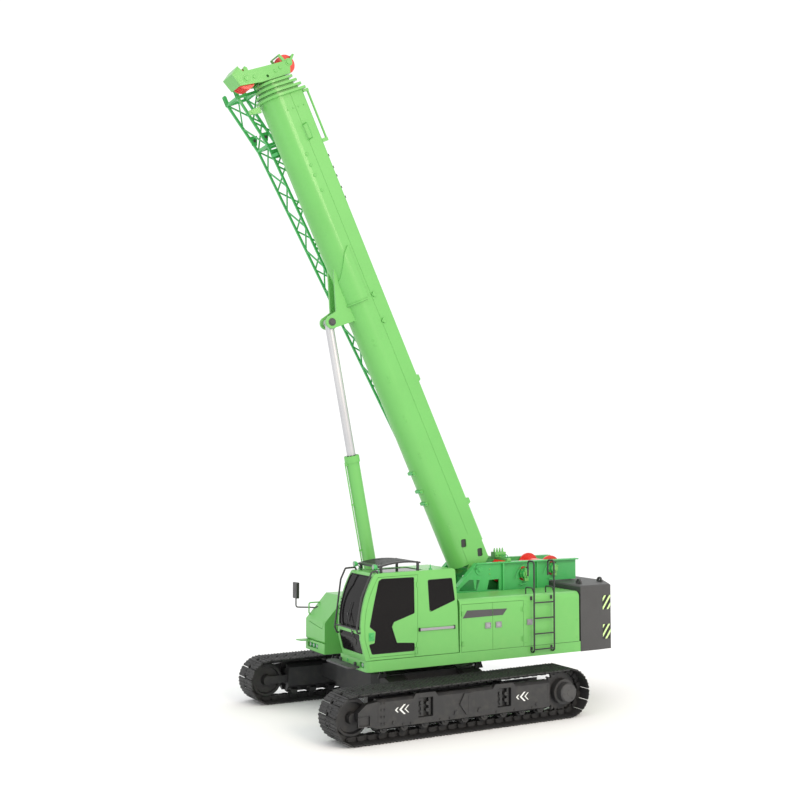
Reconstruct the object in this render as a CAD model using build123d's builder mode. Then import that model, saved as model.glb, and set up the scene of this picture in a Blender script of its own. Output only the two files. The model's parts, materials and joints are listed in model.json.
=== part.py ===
from build123d import *
from math import atan2, cos, degrees, radians, sin
import os

os.makedirs("parts", exist_ok=True)

# Crawler crane with a telescopic boom.  Millimetres.
# X points forward, Y to the left (the cab's side), Z up.
# The origin is on the ground, under the slewing axis.

# ---------------------------------------------------------------- driving dimensions
# running gear
track_length = 5390.0
track_gauge = 3850.0
rear_radius = 455.0
front_radius = 435.0
wheel_lift = 15.0
wheel_rise_run = 480.0
bend_radius = 260.0
shoe_width = 700.0
shoe_pitch = 203.0
shoe_gap = 6.0
shoe_plate = 18.0
grouser_height = 14.0
notch_depth = 24.0
inner_lap = 6.0
link_height = 88.0
rail_offset = 78.0
rail_thickness = 44.0
roller_radius = 100.0
roller_count = 9
carrier_radius = 60.0
inner_wall = 250.0
outer_wall = 285.0
channel = 112.0
frame_bottom = 255.0
frame_top = 745.0

# upper works
half_width = 1500.0
deck_bottom = 1080.0
deck_top = 1280.0
deck_front = 1700.0
deck_rear = -3100.0
hood_top = 2270.0
hood_front = -260.0
hood_rear = -3070.0
hood_inner = 610.0
hood_radius = 110.0
side_front = 1550.0
panel = 30.0
door_gap = 6.0
weight_rear = -4250.0
weight_corner = -3900.0
weight_bottom = 1075.0
weight_top = 2375.0
cheek_plate_y = 500.0
cheek_plate = 30.0
recess_y = 440.0
rim_top = 2830.0

# boom, raised as it is parked
boom_pivot_x = -1350.0
boom_pivot_z = 2700.0
boom_angle = 64.9
boom_width = 640.0
boom_top = 445.0
bend_centre = -20.0
section_step = 38.0
section_wall = 10.0
corner_radius = 40.0
seam_height = 150.0
seam_depth = 5.0
foot_plate = 32.0
foot_end = 700.0
collar_rim = 62.0
base_end = 10050.0
collar_pitch = 95.0
collar_thickness = 46.0
foot_pin_radius = 60.0

# luffing cylinder
foot_x = 585.0
foot_z = 1400.0
eye_along = 5715.0
eye_below = 772.0
eye_radius = 78.0
eye_width = 200.0
cheek_thickness = 50.0
barrel_length = 3640.0
barrel_radius = 130.0
rod_radius = 85.0
rod_length = 3430.0

# running clearances
fit = 1.0
clear = 6.0

sides = (("left", 1), ("right", -1))


def lengthwise(y):
    """Upright plane along the machine at y: X to the right, Z up."""
    return Plane(origin=(0, y, 0), x_dir=(1, 0, 0), z_dir=(0, -1, 0))


def crosswise(x):
    """Upright plane across the machine at x: Y to the right, Z up."""
    return Plane(origin=(x, 0, 0), x_dir=(0, 1, 0), z_dir=(1, 0, 0))


boom_dir = Vector(cos(radians(boom_angle)), 0, sin(radians(boom_angle)))
boom_up = Vector(-sin(radians(boom_angle)), 0, cos(radians(boom_angle)))
boom_pivot = Vector(boom_pivot_x, 0, boom_pivot_z)


def boom_point(u, y, v):
    """Point u along the boom from its foot pin, y to the left, v above the pin's line."""
    return boom_pivot + boom_dir * u + boom_up * v + Vector(0, y, 0)


def boom_side(y):
    """Plane along the boom at y: along the boom to the right, its upper side up."""
    return Plane(origin=boom_point(0, y, 0), x_dir=boom_dir, z_dir=(0, -1, 0))


def boom_cut(u):
    """Plane across the boom, u along it from the foot pin."""
    return Plane(origin=boom_point(u, 0, 0), x_dir=(0, 1, 0), z_dir=boom_dir)


def save(part, name):
    part.label = name
    export_step(part, f"parts/{name}.step")


# ---------------------------------------------------------------- tracks
shoe_height = shoe_plate + grouser_height
rear_x = -track_length / 2 + rear_radius
front_x = track_length / 2 - front_radius
rail_inner = shoe_height + link_height
rear_z = rear_radius + wheel_lift
front_z = front_radius + wheel_lift
beam_rear = rear_x + 440
beam_front = front_x - 410


def belt_outline(inset):
    """Outline of the belt, inset from its outside: both end wheels and the lower run."""
    with Locations((rear_x, rear_z)):
        Circle(rear_radius - inset)
    with Locations((front_x, front_z)):
        Circle(front_radius - inset)
    with Locations((rear_x + wheel_rise_run, bend_radius), (front_x - wheel_rise_run, bend_radius)):
        Circle(bend_radius - inset)
    make_hull()


with BuildSketch(Plane.XY) as belt_line:
    belt_outline(shoe_height)
belt_wire = belt_line.sketch.face().outer_wire()
shoe_count = round(belt_wire.length / shoe_pitch)
half_shoe = belt_wire.length / shoe_count / 2 - shoe_gap / 2
shoe_places = []
for i in range(shoe_count):
    point = belt_wire.position_at(i / shoe_count)
    along = belt_wire.tangent_at(i / shoe_count)
    shoe_places.append(Location((point.X, point.Y, 0), (0, 0, degrees(atan2(along.Y, along.X)))))

# one shoe with three grousers, seen from the side: along the belt, and outwards as negative
shoe_outline = [
    (-half_shoe, 0),
    (-half_shoe, -shoe_height),
    (-half_shoe * 0.72, -shoe_plate),
    (-half_shoe * 0.28, -shoe_plate),
    (0, -shoe_height),
    (half_shoe * 0.28, -shoe_plate),
    (half_shoe * 0.72, -shoe_plate),
    (half_shoe, -shoe_height),
    (half_shoe, 0),
]
with BuildPart() as belt:
    with BuildSketch(lengthwise(0)):
        belt_outline(notch_depth)
        with Locations(*shoe_places):
            Polygon(*shoe_outline, align=None)
        with BuildSketch(mode=Mode.PRIVATE) as belt_inside:
            belt_outline(shoe_height + inner_lap)
        add(belt_inside, mode=Mode.SUBTRACT)
    extrude(amount=shoe_width / 2, both=True)
    with BuildSketch(lengthwise(-rail_offset), lengthwise(rail_offset)):
        belt_outline(shoe_height)
        with BuildSketch(mode=Mode.PRIVATE) as rail_inside:
            belt_outline(rail_inner)
        add(rail_inside, mode=Mode.SUBTRACT)
    extrude(amount=rail_thickness / 2, both=True)
for side, out in sides:
    save(Pos(0, out * track_gauge / 2, 0) * belt.part, f"track_{side}")

tooth_count = 25
tooth_root = rear_radius - rail_inner + 6
tooth_tip = rear_radius - shoe_height - 16
web_bottom = rail_inner + 2 * roller_radius + 12
web_top = 640.0
pocket_stations = (898.0, -776.0)
for side, out in sides:
    middle = out * track_gauge / 2

    # -- sprocket with its final drive
    with BuildPart() as sprocket:
        with BuildSketch(lengthwise(middle)):
            with Locations((rear_x, rear_z)):
                Circle(tooth_root)
                with PolarLocations(tooth_root, tooth_count):
                    Polygon((-12, -30), (tooth_tip - tooth_root, -12), (tooth_tip - tooth_root, 12), (-12, 30),
                            align=None)
        extrude(amount=28, both=True)
        with BuildSketch(lengthwise(middle - out * (channel + 18 - fit))):
            with Locations((rear_x, rear_z)):
                Circle(235)
        extrude(amount=-out * 290)
        with BuildSketch(lengthwise(middle + out * 150)):
            with Locations((rear_x, rear_z)):
                Circle(182)
        extrude(amount=-out * 172)
        rims = sprocket.edges().filter_by(GeomType.CIRCLE).sort_by(Axis.Y)
        chamfer(rims[-1] if out > 0 else rims[0], length=24)
    save(sprocket.part, f"sprocket_{side}")

    # -- idler
    idler_tread = front_radius - rail_inner - fit
    with BuildPart() as idler:
        with BuildSketch(crosswise(front_x)):
            with BuildLine():
                Polyline(
                    (middle - 108, front_z + 40),
                    (middle - 108, front_z + 95),
                    (middle - 40, front_z + 110),
                    (middle - 40, front_z + idler_tread - 60),
                    (middle - 98, front_z + idler_tread - 40),
                    (middle - 98, front_z + idler_tread),
                    (middle - 46, front_z + idler_tread),
                    (middle - 40, front_z + idler_tread + 26),
                    (middle + 40, front_z + idler_tread + 26),
                    (middle + 46, front_z + idler_tread),
                    (middle + 98, front_z + idler_tread),
                    (middle + 98, front_z + idler_tread - 40),
                    (middle + 40, front_z + idler_tread - 60),
                    (middle + 40, front_z + 110),
                    (middle + 108, front_z + 95),
                    (middle + 108, front_z + 40),
                    close=True,
                )
            make_face()
        revolve(axis=Axis((front_x, 0, front_z), (0, 1, 0)), revolution_arc=360)
    save(idler.part, f"idler_{side}")

    # -- rollers: track rollers on the lower run, two carriers under the upper run
    top_slope = 2 * (rear_radius - front_radius) / (front_x - rear_x)
    roller_step = (beam_front - beam_rear - 300) / (roller_count - 1)
    with BuildPart() as rollers:
        for i in range(roller_count):
            with BuildSketch(lengthwise(middle)):
                with Locations((beam_rear + 150 + i * roller_step, rail_inner + roller_radius + fit)):
                    Circle(roller_radius)
            extrude(amount=110, both=True)
        for carrier_x in (-850.0, 900.0):
            run = rear_z + rear_radius - rail_inner - top_slope * (carrier_x - rear_x)
            with BuildSketch(lengthwise(middle)):
                with Locations((carrier_x, run - carrier_radius - fit)):
                    Circle(carrier_radius)
            extrude(amount=110, both=True)
    save(rollers.part, f"rollers_{side}")

    # -- track frame: a beam with a channel above and below for links and rollers
    with BuildPart() as track_frame:
        with BuildSketch(crosswise(beam_rear)):
            with BuildLine():
                Polyline(
                    (middle - out * inner_wall, frame_bottom + 60),
                    (middle - out * channel, frame_bottom - 70),
                    (middle - out * channel, web_bottom),
                    (middle + out * channel, web_bottom),
                    (middle + out * channel, frame_bottom - 70),
                    (middle + out * outer_wall, frame_bottom),
                    (middle + out * outer_wall, frame_top - 45),
                    (middle + out * (outer_wall - 45), frame_top),
                    (middle + out * channel, frame_top),
                    (middle + out * channel, web_top),
                    (middle - out * channel, web_top),
                    (middle - out * channel, frame_top),
                    (middle - out * inner_wall, frame_top - 60),
                    close=True,
                )
            make_face()
        extrude(amount=beam_front - beam_rear)
        # recessed pockets in the outer face, each with its locking pins and a raised pad above
        for pocket_x in pocket_stations:
            with BuildSketch(lengthwise(middle + out * (outer_wall - 60))):
                Polygon((pocket_x - 260, frame_top - 50), (pocket_x + 260, frame_top - 50),
                        (pocket_x + 200, frame_top + 38), (pocket_x - 200, frame_top + 38), align=None)
            extrude(amount=60 if out < 0 else -60)
            with BuildSketch(lengthwise(middle + out * outer_wall)):
                with Locations((pocket_x, 530)):
                    RectangleRounded(306, 340, 18)
            extrude(amount=out * 110, mode=Mode.SUBTRACT)
            with BuildSketch(lengthwise(middle + out * (outer_wall - 115))):
                with Locations((pocket_x - 60, 585), (pocket_x - 60, 470)):
                    Circle(34)
            extrude(amount=-out * 80)
        # middle bracket
        with BuildSketch(lengthwise(middle + out * outer_wall)):
            Polygon((-60, 315), (60, 315), (200, 508), (100, 691), (-60, 691), (-130, 508), align=None)
        extrude(amount=-out * 26)
        # idler fork
        for fork_y in (-out, out):
            with BuildSketch(lengthwise(middle + fork_y * (channel + 20))):
                with Locations(((beam_front + front_x) / 2, front_z)):
                    Rectangle(front_x - beam_front, 150)
                with Locations((front_x, front_z)):
                    Circle(90)
            extrude(amount=20, both=True)
        with BuildSketch(lengthwise(middle)):
            with Locations((front_x, front_z)):
                Circle(40 - fit)
        extrude(amount=channel + 40, both=True)
        # outer guard in front of the beam
        with BuildSketch(lengthwise(middle + out * (outer_wall - 60))):
            Polygon((beam_front, frame_bottom), (2060, frame_bottom + 60), (2240, front_z - 30),
                    (2240, front_z + 110), (2080, 690), (beam_front, 720), align=None)
        extrude(amount=60, both=True)
        # seat of the final drive on the inner side
        with BuildSketch(lengthwise(middle - out * (channel + 38))):
            with Locations((rear_x, rear_z)):
                Circle(262)
            with Locations(((rear_x + beam_rear) / 2, rear_z)):
                Rectangle(beam_rear - rear_x, 400)
        extrude(amount=20, both=True)
    save(track_frame.part, f"track_frame_{side}")

# ---------------------------------------------------------------- carbody and slewing ring
ring_seat = 985.0
beam_reach = track_gauge / 2 - inner_wall
lug_z = 952.0
with BuildPart() as carbody:
    with BuildSketch(Plane.XY.offset(430)):
        with Locations((80, 0)):
            Rectangle(2300, 2000)
        chamfer(vertices(), length=260)
    extrude(amount=470)
    with BuildSketch(Plane.XY.offset(900)):
        Circle(690)
    extrude(amount=ring_seat - 900)
    for beam_x in (900.0, -760.0):
        with BuildSketch(crosswise(beam_x)):
            Polygon((-beam_reach, 470), (-900, 440), (900, 440), (beam_reach, 470),
                    (beam_reach, 700), (1000, 880), (-1000, 880), (-beam_reach, 700), align=None)
        extrude(amount=210, both=True)
    # tie-down lugs
    for lug_x in (1130.0, -990.0):
        for lug_y in (1010.0, -1010.0):
            with BuildSketch(lengthwise(lug_y)):
                Polygon((lug_x - 95, 860), (lug_x + 95, 860), (lug_x + 60, lug_z), (lug_x - 60, lug_z), align=None)
                with Locations((lug_x, lug_z)):
                    Circle(60)
                    Circle(30, mode=Mode.SUBTRACT)
            extrude(amount=18, both=True)
save(carbody.part, "carbody")

with BuildPart() as slew_ring_lower:
    with BuildSketch(Plane.XY.offset(ring_seat)):
        Circle(650)
        Circle(566, mode=Mode.SUBTRACT)
    extrude(amount=50)
save(slew_ring_lower.part, "slew_ring_lower")

with BuildPart() as slew_ring_upper:
    with BuildSketch(Plane.XY.offset(ring_seat + 8)):
        Circle(566 - clear)
        Circle(470, mode=Mode.SUBTRACT)
    extrude(amount=deck_bottom - ring_seat - 8)
    with BuildSketch(Plane.XY.offset(ring_seat + 50 + clear)):
        Circle(650)
        Circle(500, mode=Mode.SUBTRACT)
    extrude(amount=deck_bottom - ring_seat - 50 - clear)
save(slew_ring_upper.part, "slew_ring_upper")

# ---------------------------------------------------------------- deck
deck_well = 420.0
bay_rear = deck_front - 840
lamp_z = (deck_bottom + deck_top) / 2 + 10
with BuildPart() as deck:
    with BuildSketch(Plane.XY.offset(deck_bottom)):
        Polygon((deck_rear, -half_width), (side_front, -half_width), (side_front, -hood_inner), (bay_rear, -hood_inner),
                (bay_rear, deck_well), (deck_front, deck_well), (deck_front, half_width), (deck_rear, half_width),
                align=None)
        fillet(vertices().group_by(Axis.X)[-1].sort_by(Axis.Y)[-1], radius=90)
    extrude(amount=deck_top - deck_bottom)
    # lamp recesses in the front corners
    for recess_x, recess_y_middle, recess_width in ((deck_front, 1290.0, 170.0), (side_front, -1160.0, 500.0)):
        with BuildSketch(crosswise(recess_x)):
            with Locations((recess_y_middle, lamp_z)):
                RectangleRounded(recess_width, 100, 20)
        extrude(amount=-60, mode=Mode.SUBTRACT)
    # foothold at the right front corner
    with BuildSketch(Plane.XY.offset(deck_top - 20)):
        Polygon((side_front, -half_width), (side_front + 220, -half_width), (side_front + 180, -half_width + 160),
                (side_front, -half_width + 220), align=None)
    extrude(amount=20)
save(deck.part, "deck")

with BuildPart() as front_step:
    with BuildSketch(Plane.XY.offset(1120)):
        with Locations((deck_front + 110, 700)):
            Rectangle(220, 1000)
        chamfer(vertices().group_by(Axis.X)[-1], length=60)
    extrude(amount=30)
    with BuildSketch(crosswise(deck_front)):
        with Locations((460, 1150), (1060, 1150)):
            Rectangle(40, 120)
    extrude(amount=40)
save(front_step.part, "front_step")

# ---------------------------------------------------------------- winch frame
knee_x = -1260.0
rim_rear = -3800.0
rim_plate = 24.0
rim_flange = 60.0
recess_front = -1900.0
slope_foot = (60.0, 1560.0)
slope_bend = (knee_x + 470, 2385.0)
pin_lug_y = 165.0
lug_plate = 50.0
foot_eye_pin = 55.0
# x, z, drum radius, flange radius
winch_table = (
    ("winch_main", -2460.0, 2570.0, 175.0, 265.0),
    ("winch_auxiliary", -3180.0, 2650.0, 150.0, 250.0),
)
motor_radius = 92.0
motor_window = 150.0
with BuildPart() as winch_frame:
    for out in (-1, 1):
        # front part of the side plate, with its openings
        with BuildSketch(lengthwise(out * cheek_plate_y)):
            Polygon((slope_foot[0], deck_top), slope_foot, slope_bend, (knee_x, rim_top), (recess_front, rim_top),
                    (recess_front, deck_top), align=None)
            Polygon((-1812, 2270), (-1813, 2490), (-1571, 2483), (-1522, 2286), align=None, mode=Mode.SUBTRACT)
            Polygon((-1283, 2279), (-1355, 2494), (-1094, 2507), (-882, 2340), (-860, 2290),
                    align=None, mode=Mode.SUBTRACT)
        extrude(amount=cheek_plate / 2, both=True)
        # rear part, set further in, with a window round each winch motor
        with BuildSketch(lengthwise(out * recess_y)):
            Polygon((recess_front, deck_top), (recess_front, rim_top), (rim_rear, rim_top),
                    (rim_rear, weight_top + 20), (deck_rear, weight_top + 20), (deck_rear, deck_top), align=None)
            for _, winch_x, winch_z, _, _ in winch_table:
                with BuildSketch(mode=Mode.PRIVATE) as motor_gap:
                    with Locations((winch_x, winch_z)):
                        Circle(motor_window)
                        Circle(motor_radius, mode=Mode.SUBTRACT)
                        with Locations((motor_window / 2 + 30, 0)):
                            Rectangle(motor_window, 2 * motor_radius, mode=Mode.SUBTRACT)
                add(motor_gap, mode=Mode.SUBTRACT)
        extrude(amount=cheek_plate / 2, both=True)
        for _, winch_x, winch_z, _, _ in winch_table:
            with BuildSketch(lengthwise(out * recess_y)):
                with Locations((winch_x, winch_z)):
                    Circle(motor_radius)
            extrude(amount=-out * 130)
            with BuildSketch(lengthwise(out * (recess_y + 40))):
                with Locations((winch_x, winch_z)):
                    Circle(motor_radius + 22)
            extrude(amount=-out * 22)
        # flange along the upper edge
        with BuildSketch(lengthwise(out * cheek_plate_y)):
            Polygon(slope_bend, (knee_x, rim_top), (rim_rear, rim_top), (rim_rear, rim_top - rim_plate),
                    (knee_x + 14, rim_top - rim_plate), (slope_bend[0] - 18, slope_bend[1] - 16), align=None)
        extrude(amount=rim_flange, both=True)
        # post where the plate steps in, and a rib behind it
        with BuildSketch(Plane.XY.offset(deck_top)):
            with Locations((recess_front, out * (cheek_plate_y + recess_y) / 2)):
                Rectangle(40, cheek_plate_y - recess_y + 110)
        extrude(amount=rim_top - deck_top)
        with BuildSketch(lengthwise(out * (recess_y + cheek_plate))):
            with Locations((-2780, (deck_top + rim_top) / 2)):
                Rectangle(30, rim_top - deck_top)
        extrude(amount=cheek_plate, both=True)
    # cross plates in front of the boom's foot, behind it and at the rear
    for plate_x, plate_top, plate_y in ((-1450, 2470, cheek_plate_y), (-2040, 2120, recess_y)):
        with BuildSketch(crosswise(plate_x)):
            with Locations((0, (deck_top + plate_top) / 2)):
                Rectangle(2 * plate_y, plate_top - deck_top)
        extrude(amount=cheek_plate)
    with BuildSketch(crosswise(rim_rear)):
        with Locations((0, weight_top + 120)):
            Rectangle(2 * recess_y, 200)
    extrude(amount=cheek_plate)
    # boom foot pin with its keepers
    with BuildSketch(lengthwise(0)):
        with Locations((boom_pivot_x, boom_pivot_z)):
            Circle(foot_pin_radius)
    extrude(amount=cheek_plate_y + 40, both=True)
    for boss_y in (-cheek_plate_y, cheek_plate_y):
        with BuildSketch(lengthwise(boss_y)):
            with Locations((boom_pivot_x, boom_pivot_z)):
                Circle(112)
        extrude(amount=30, both=True)
    # lugs and pin of the luffing cylinder's foot
    for lug_y in (-pin_lug_y, pin_lug_y):
        with BuildSketch(lengthwise(lug_y)):
            with Locations((foot_x, foot_z)):
                Circle(120)
            Polygon((foot_x - 260, deck_top), (foot_x + 190, deck_top), (foot_x + 118, foot_z + 20),
                    (foot_x - 118, foot_z + 20), align=None)
        extrude(amount=lug_plate / 2, both=True)
    with BuildSketch(lengthwise(0)):
        with Locations((foot_x, foot_z)):
            Circle(foot_eye_pin)
    extrude(amount=pin_lug_y + 45, both=True)
save(winch_frame.part, "winch_frame")

# ---------------------------------------------------------------- winches
drum_end = recess_y - cheek_plate / 2 - clear
drum_flange = 30.0
for name, x, z, drum_radius, flange_radius in winch_table:
    flange_out = drum_end - 14
    flange_in = flange_out - drum_flange
    with BuildPart() as winch:
        with BuildSketch(Plane.XY):
            with BuildLine():
                Polyline(
                    (0, -drum_end),
                    (drum_radius - 45, -drum_end),
                    (drum_radius - 45, -flange_out),
                    (flange_radius, -flange_out),
                    (flange_radius, -flange_in),
                    (drum_radius, -flange_in),
                    (drum_radius, flange_in),
                    (flange_radius, flange_in),
                    (flange_radius, flange_out),
                    (drum_radius - 45, flange_out),
                    (drum_radius - 45, drum_end),
                    (0, drum_end),
                    close=True,
                )
            make_face()
        revolve(axis=Axis.Y, revolution_arc=360)
    save(Pos(x, 0, z) * winch.part, name)

# ---------------------------------------------------------------- counterweight
weight_front = deck_rear - 10
weight_crease = weight_corner + 360
weight_lug_x = weight_corner - 60
with BuildPart() as counterweight:
    with BuildSketch(Plane.XY.offset(weight_bottom)):
        Polygon(
            (weight_front, -half_width),
            (weight_crease, -half_width),
            (weight_corner, -half_width + 30),
            (weight_rear, -half_width + 650),
            (weight_rear, half_width - 650),
            (weight_corner, half_width - 30),
            (weight_crease, half_width),
            (weight_front, half_width),
            align=None,
        )
    extrude(amount=weight_top - weight_bottom)
    chamfer(counterweight.faces().sort_by(Axis.Z)[-1].edges(), length=25)
    for lug_x, lug_y in ((weight_lug_x, 1050.0), (weight_lug_x, -1050.0), (weight_front - 230, 1150.0),
                         (weight_front - 230, -1150.0)):
        with BuildSketch(crosswise(lug_x)):
            with Locations((lug_y, weight_top + 40)):
                Circle(62)
            with Locations((lug_y, weight_top + 10)):
                Rectangle(150, 80)
            with Locations((lug_y, weight_top + 46)):
                Circle(30, mode=Mode.SUBTRACT)
        extrude(amount=20, both=True)
save(counterweight.part, "counterweight")

# ---------------------------------------------------------------- side housings with their doors
door_split = -1000.0
door_rear = -1750.0
door_top = hood_top - hood_radius + 15
hood_middle = (hood_inner + half_width) / 2
for side, out in sides:
    with BuildPart() as housing:
        with BuildSketch(Plane.XY.offset(deck_top)):
            with Locations(((hood_front + hood_rear) / 2, out * hood_middle)):
                Rectangle(hood_front - hood_rear, half_width - hood_inner)
        extrude(amount=hood_top - deck_top)
        top_edges = housing.edges().filter_by(Axis.X).group_by(Axis.Z)[-1].sort_by(Axis.Y)
        fillet(top_edges[-1] if out > 0 else top_edges[0], radius=hood_radius)
        with BuildSketch(Plane.XY.offset(deck_top)):
            with Locations(((hood_front + door_rear) / 2, out * hood_middle)):
                Rectangle(hood_front - door_rear - 2 * panel, half_width - hood_inner - 2 * panel)
        extrude(amount=door_top - deck_top, mode=Mode.SUBTRACT)
        # door opening
        with BuildSketch(lengthwise(out * half_width)):
            with Locations(((hood_front + door_rear) / 2, (deck_top + door_top) / 2)):
                Rectangle(hood_front - door_rear - 2 * panel, door_top - deck_top)
        extrude(amount=out * panel, mode=Mode.SUBTRACT)
    save(housing.part, f"housing_{side}")
    # doors: name, edge in front, edge behind
    door_table = (
        ("front", hood_front - panel - clear, door_split + door_gap / 2),
        ("rear", door_split - door_gap / 2, door_rear + panel + clear),
    )
    for place, front_edge, rear_edge in door_table:
        with BuildPart() as door:
            with BuildSketch(lengthwise(out * half_width)):
                with Locations(((front_edge + rear_edge) / 2, (deck_top + door_top) / 2)):
                    Rectangle(front_edge - rear_edge, door_top - deck_top - 2 * clear)
            extrude(amount=out * panel)
        save(door.part, f"door_{side}_{place}")

with BuildPart() as power_block:
    with BuildSketch(Plane.XY.offset(deck_top)):
        with Locations(((hood_front + door_rear) / 2, -hood_middle)):
            Rectangle(1200, half_width - hood_inner - 190)
    extrude(amount=750)
save(power_block.part, "power_block")

# right front housing beside the boom: a body with a sloping lid
lid_seam = side_front - 14
with BuildPart() as housing_front:
    with BuildSketch(lengthwise(-half_width)):
        Polygon((hood_front + 4, deck_top), (side_front, deck_top), (side_front, 1690), (1100, 2180),
                (hood_front + 4, 2180), align=None)
    extrude(amount=-(half_width - hood_inner))
    fillet(housing_front.edges().filter_by(Axis.Y).sort_by(Axis.X)[-2:], radius=50)
    # seam of the lid, stepping up near the boom
    with BuildSketch(crosswise(lid_seam)):
        Polygon((-1340, 1640), (-740, 1560), (-700, 1570), (-660, 1700), (-hood_inner, 1700), (-hood_inner, 1714),
                (-672, 1714), (-712, 1580), (-740, 1574), (-1340, 1654), align=None)
    extrude(amount=40, mode=Mode.SUBTRACT)
save(housing_front.part, "housing_front")

# ---------------------------------------------------------------- cab
cab_inner = half_width - 940
cab_wall = 40.0
cab_outer = half_width - 6
cab_middle = (cab_inner + cab_outer) / 2
cab_width = cab_outer - cab_inner
cab_door_rear = 647.0
cab_base = deck_top + 10
glass_inset = 12.0
pane = 8.0
rear_window = [(-154, 2268), (-89, 2681), (433, 2670), (391, 2080)]
boom_side_window = [(-20, 1900), (0, 2720), (1440, 2680), (1660, 1900)]
door_window = [
    (732, 2735), (1400, 2735), (1461, 2700), (1560, 2290), (1643, 1893), (1521, 1795), (1541, 1590), (1655, 1574),
    (1595, 1400), (720, 1400), (720, 1536), (1089, 1565), (1192, 1861), (1151, 1948), (720, 2082),
]


def cab_profile(inset):
    """Outline of the cab from the side, inset from its outside."""
    with BuildSketch(Plane.XY) as profile:
        with BuildLine():
            Polyline((1545, 2835), (-160, 2860), (-215, 2100), (-240, cab_base), (1723, cab_base), (1824, 1675),
                     (1824, 1817))
            ThreePointArc((1824, 1817), (1752, 2380), (1545, 2835))
        make_face()
        fillet(vertices().sort_by(Axis.Y)[-2:], radius=60)
        if inset:
            offset(amount=-inset)
    return profile.sketch


def door_profile(inset):
    """Outline of the cab's door opening, inset from its edge."""
    with BuildSketch(Plane.XY) as profile:
        with BuildLine():
            Polyline((1475, 2770), (cab_door_rear, 2782), (cab_door_rear, 1335), (1640, 1335), (1745, 1680),
                     (1745, 1825))
            ThreePointArc((1745, 1825), (1672, 2360), (1475, 2770))
        make_face()
        if inset:
            offset(amount=-inset)
    return profile.sketch


def side_panes():
    """Outlines of the door's window and the rear side window."""
    with BuildSketch(Plane.XY) as panes:
        Polygon(*rear_window, align=None)
        fillet(vertices(), radius=45)
        Polygon(*door_window, align=None)
    return panes.sketch


# openings of the windscreen, the screen below it, the rear window and the roof window
with BuildPart() as cab_openings:
    with BuildSketch(crosswise(1600)):
        with Locations((cab_middle, 2310)):
            RectangleRounded(cab_width - 110, 930, 50)
        with Locations((cab_middle, 1580)):
            RectangleRounded(cab_width - 110, 360, 40)
    extrude(amount=300)
    with BuildSketch(crosswise(1470)):
        with Locations((cab_middle, 2500)):
            RectangleRounded(cab_width - 110, 550, 50)
    extrude(amount=130)
    with BuildSketch(crosswise(-300)):
        with Locations((cab_middle, 2450)):
            RectangleRounded(cab_width - 200, 450, 40)
    extrude(amount=200)
    with BuildSketch(Plane.XY.offset(2900)):
        with Locations((850, cab_middle)):
            RectangleRounded(800, cab_width - 260, 50)
    extrude(amount=-150)

with BuildPart() as cab_shell:
    with BuildSketch(lengthwise(cab_inner)):
        add(cab_profile(0))
    extrude(amount=-cab_width)
    with BuildSketch(lengthwise(cab_inner + cab_wall)):
        add(cab_profile(cab_wall))
    extrude(amount=-(cab_width - 2 * cab_wall), mode=Mode.SUBTRACT)
    with BuildSketch(lengthwise(cab_outer)):
        add(side_panes())
        add(door_profile(0))
    extrude(amount=cab_wall, mode=Mode.SUBTRACT)
    with BuildSketch(lengthwise(cab_inner)):
        Polygon(*boom_side_window, align=None)
        fillet(vertices(), radius=60)
    extrude(amount=-cab_wall, mode=Mode.SUBTRACT)
    add(cab_openings.part, mode=Mode.SUBTRACT)
save(cab_shell.part, "cab_shell")

with BuildPart() as cab_door:
    with BuildSketch(lengthwise(cab_outer)):
        add(door_profile(clear))
        add(side_panes(), mode=Mode.SUBTRACT)
    extrude(amount=cab_wall)
save(cab_door.part, "cab_door")

with BuildPart() as cab_glass:
    # curved panes in the openings
    with BuildSketch(lengthwise(cab_inner + cab_wall)):
        add(cab_profile(glass_inset))
    extrude(amount=-(cab_width - 2 * cab_wall))
    with BuildSketch(lengthwise(cab_inner)):
        add(cab_profile(glass_inset + pane))
    extrude(amount=-cab_width, mode=Mode.SUBTRACT)
    add(cab_openings.part, mode=Mode.INTERSECT)
    # flat panes in the sides
    with BuildSketch(lengthwise(cab_outer - glass_inset)):
        add(side_panes())
    extrude(amount=pane)
    with BuildSketch(lengthwise(cab_inner + glass_inset)):
        Polygon(*boom_side_window, align=None)
        fillet(vertices(), radius=60)
    extrude(amount=-pane)
save(cab_glass.part, "cab_glass")

with BuildPart() as cab_seat:
    with BuildSketch(lengthwise(cab_middle)):
        Polygon((200, 1740), (240, 1900), (700, 1880), (720, 1780), (700, 1700), (560, 1690), (560, 1330),
                (320, 1330), (320, 1700), align=None)
        Polygon((150, 1800), (40, 2450), (110, 2470), (260, 2380), (330, 1860), align=None)
    extrude(amount=230, both=True)
save(cab_seat.part, "cab_seat")

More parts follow.
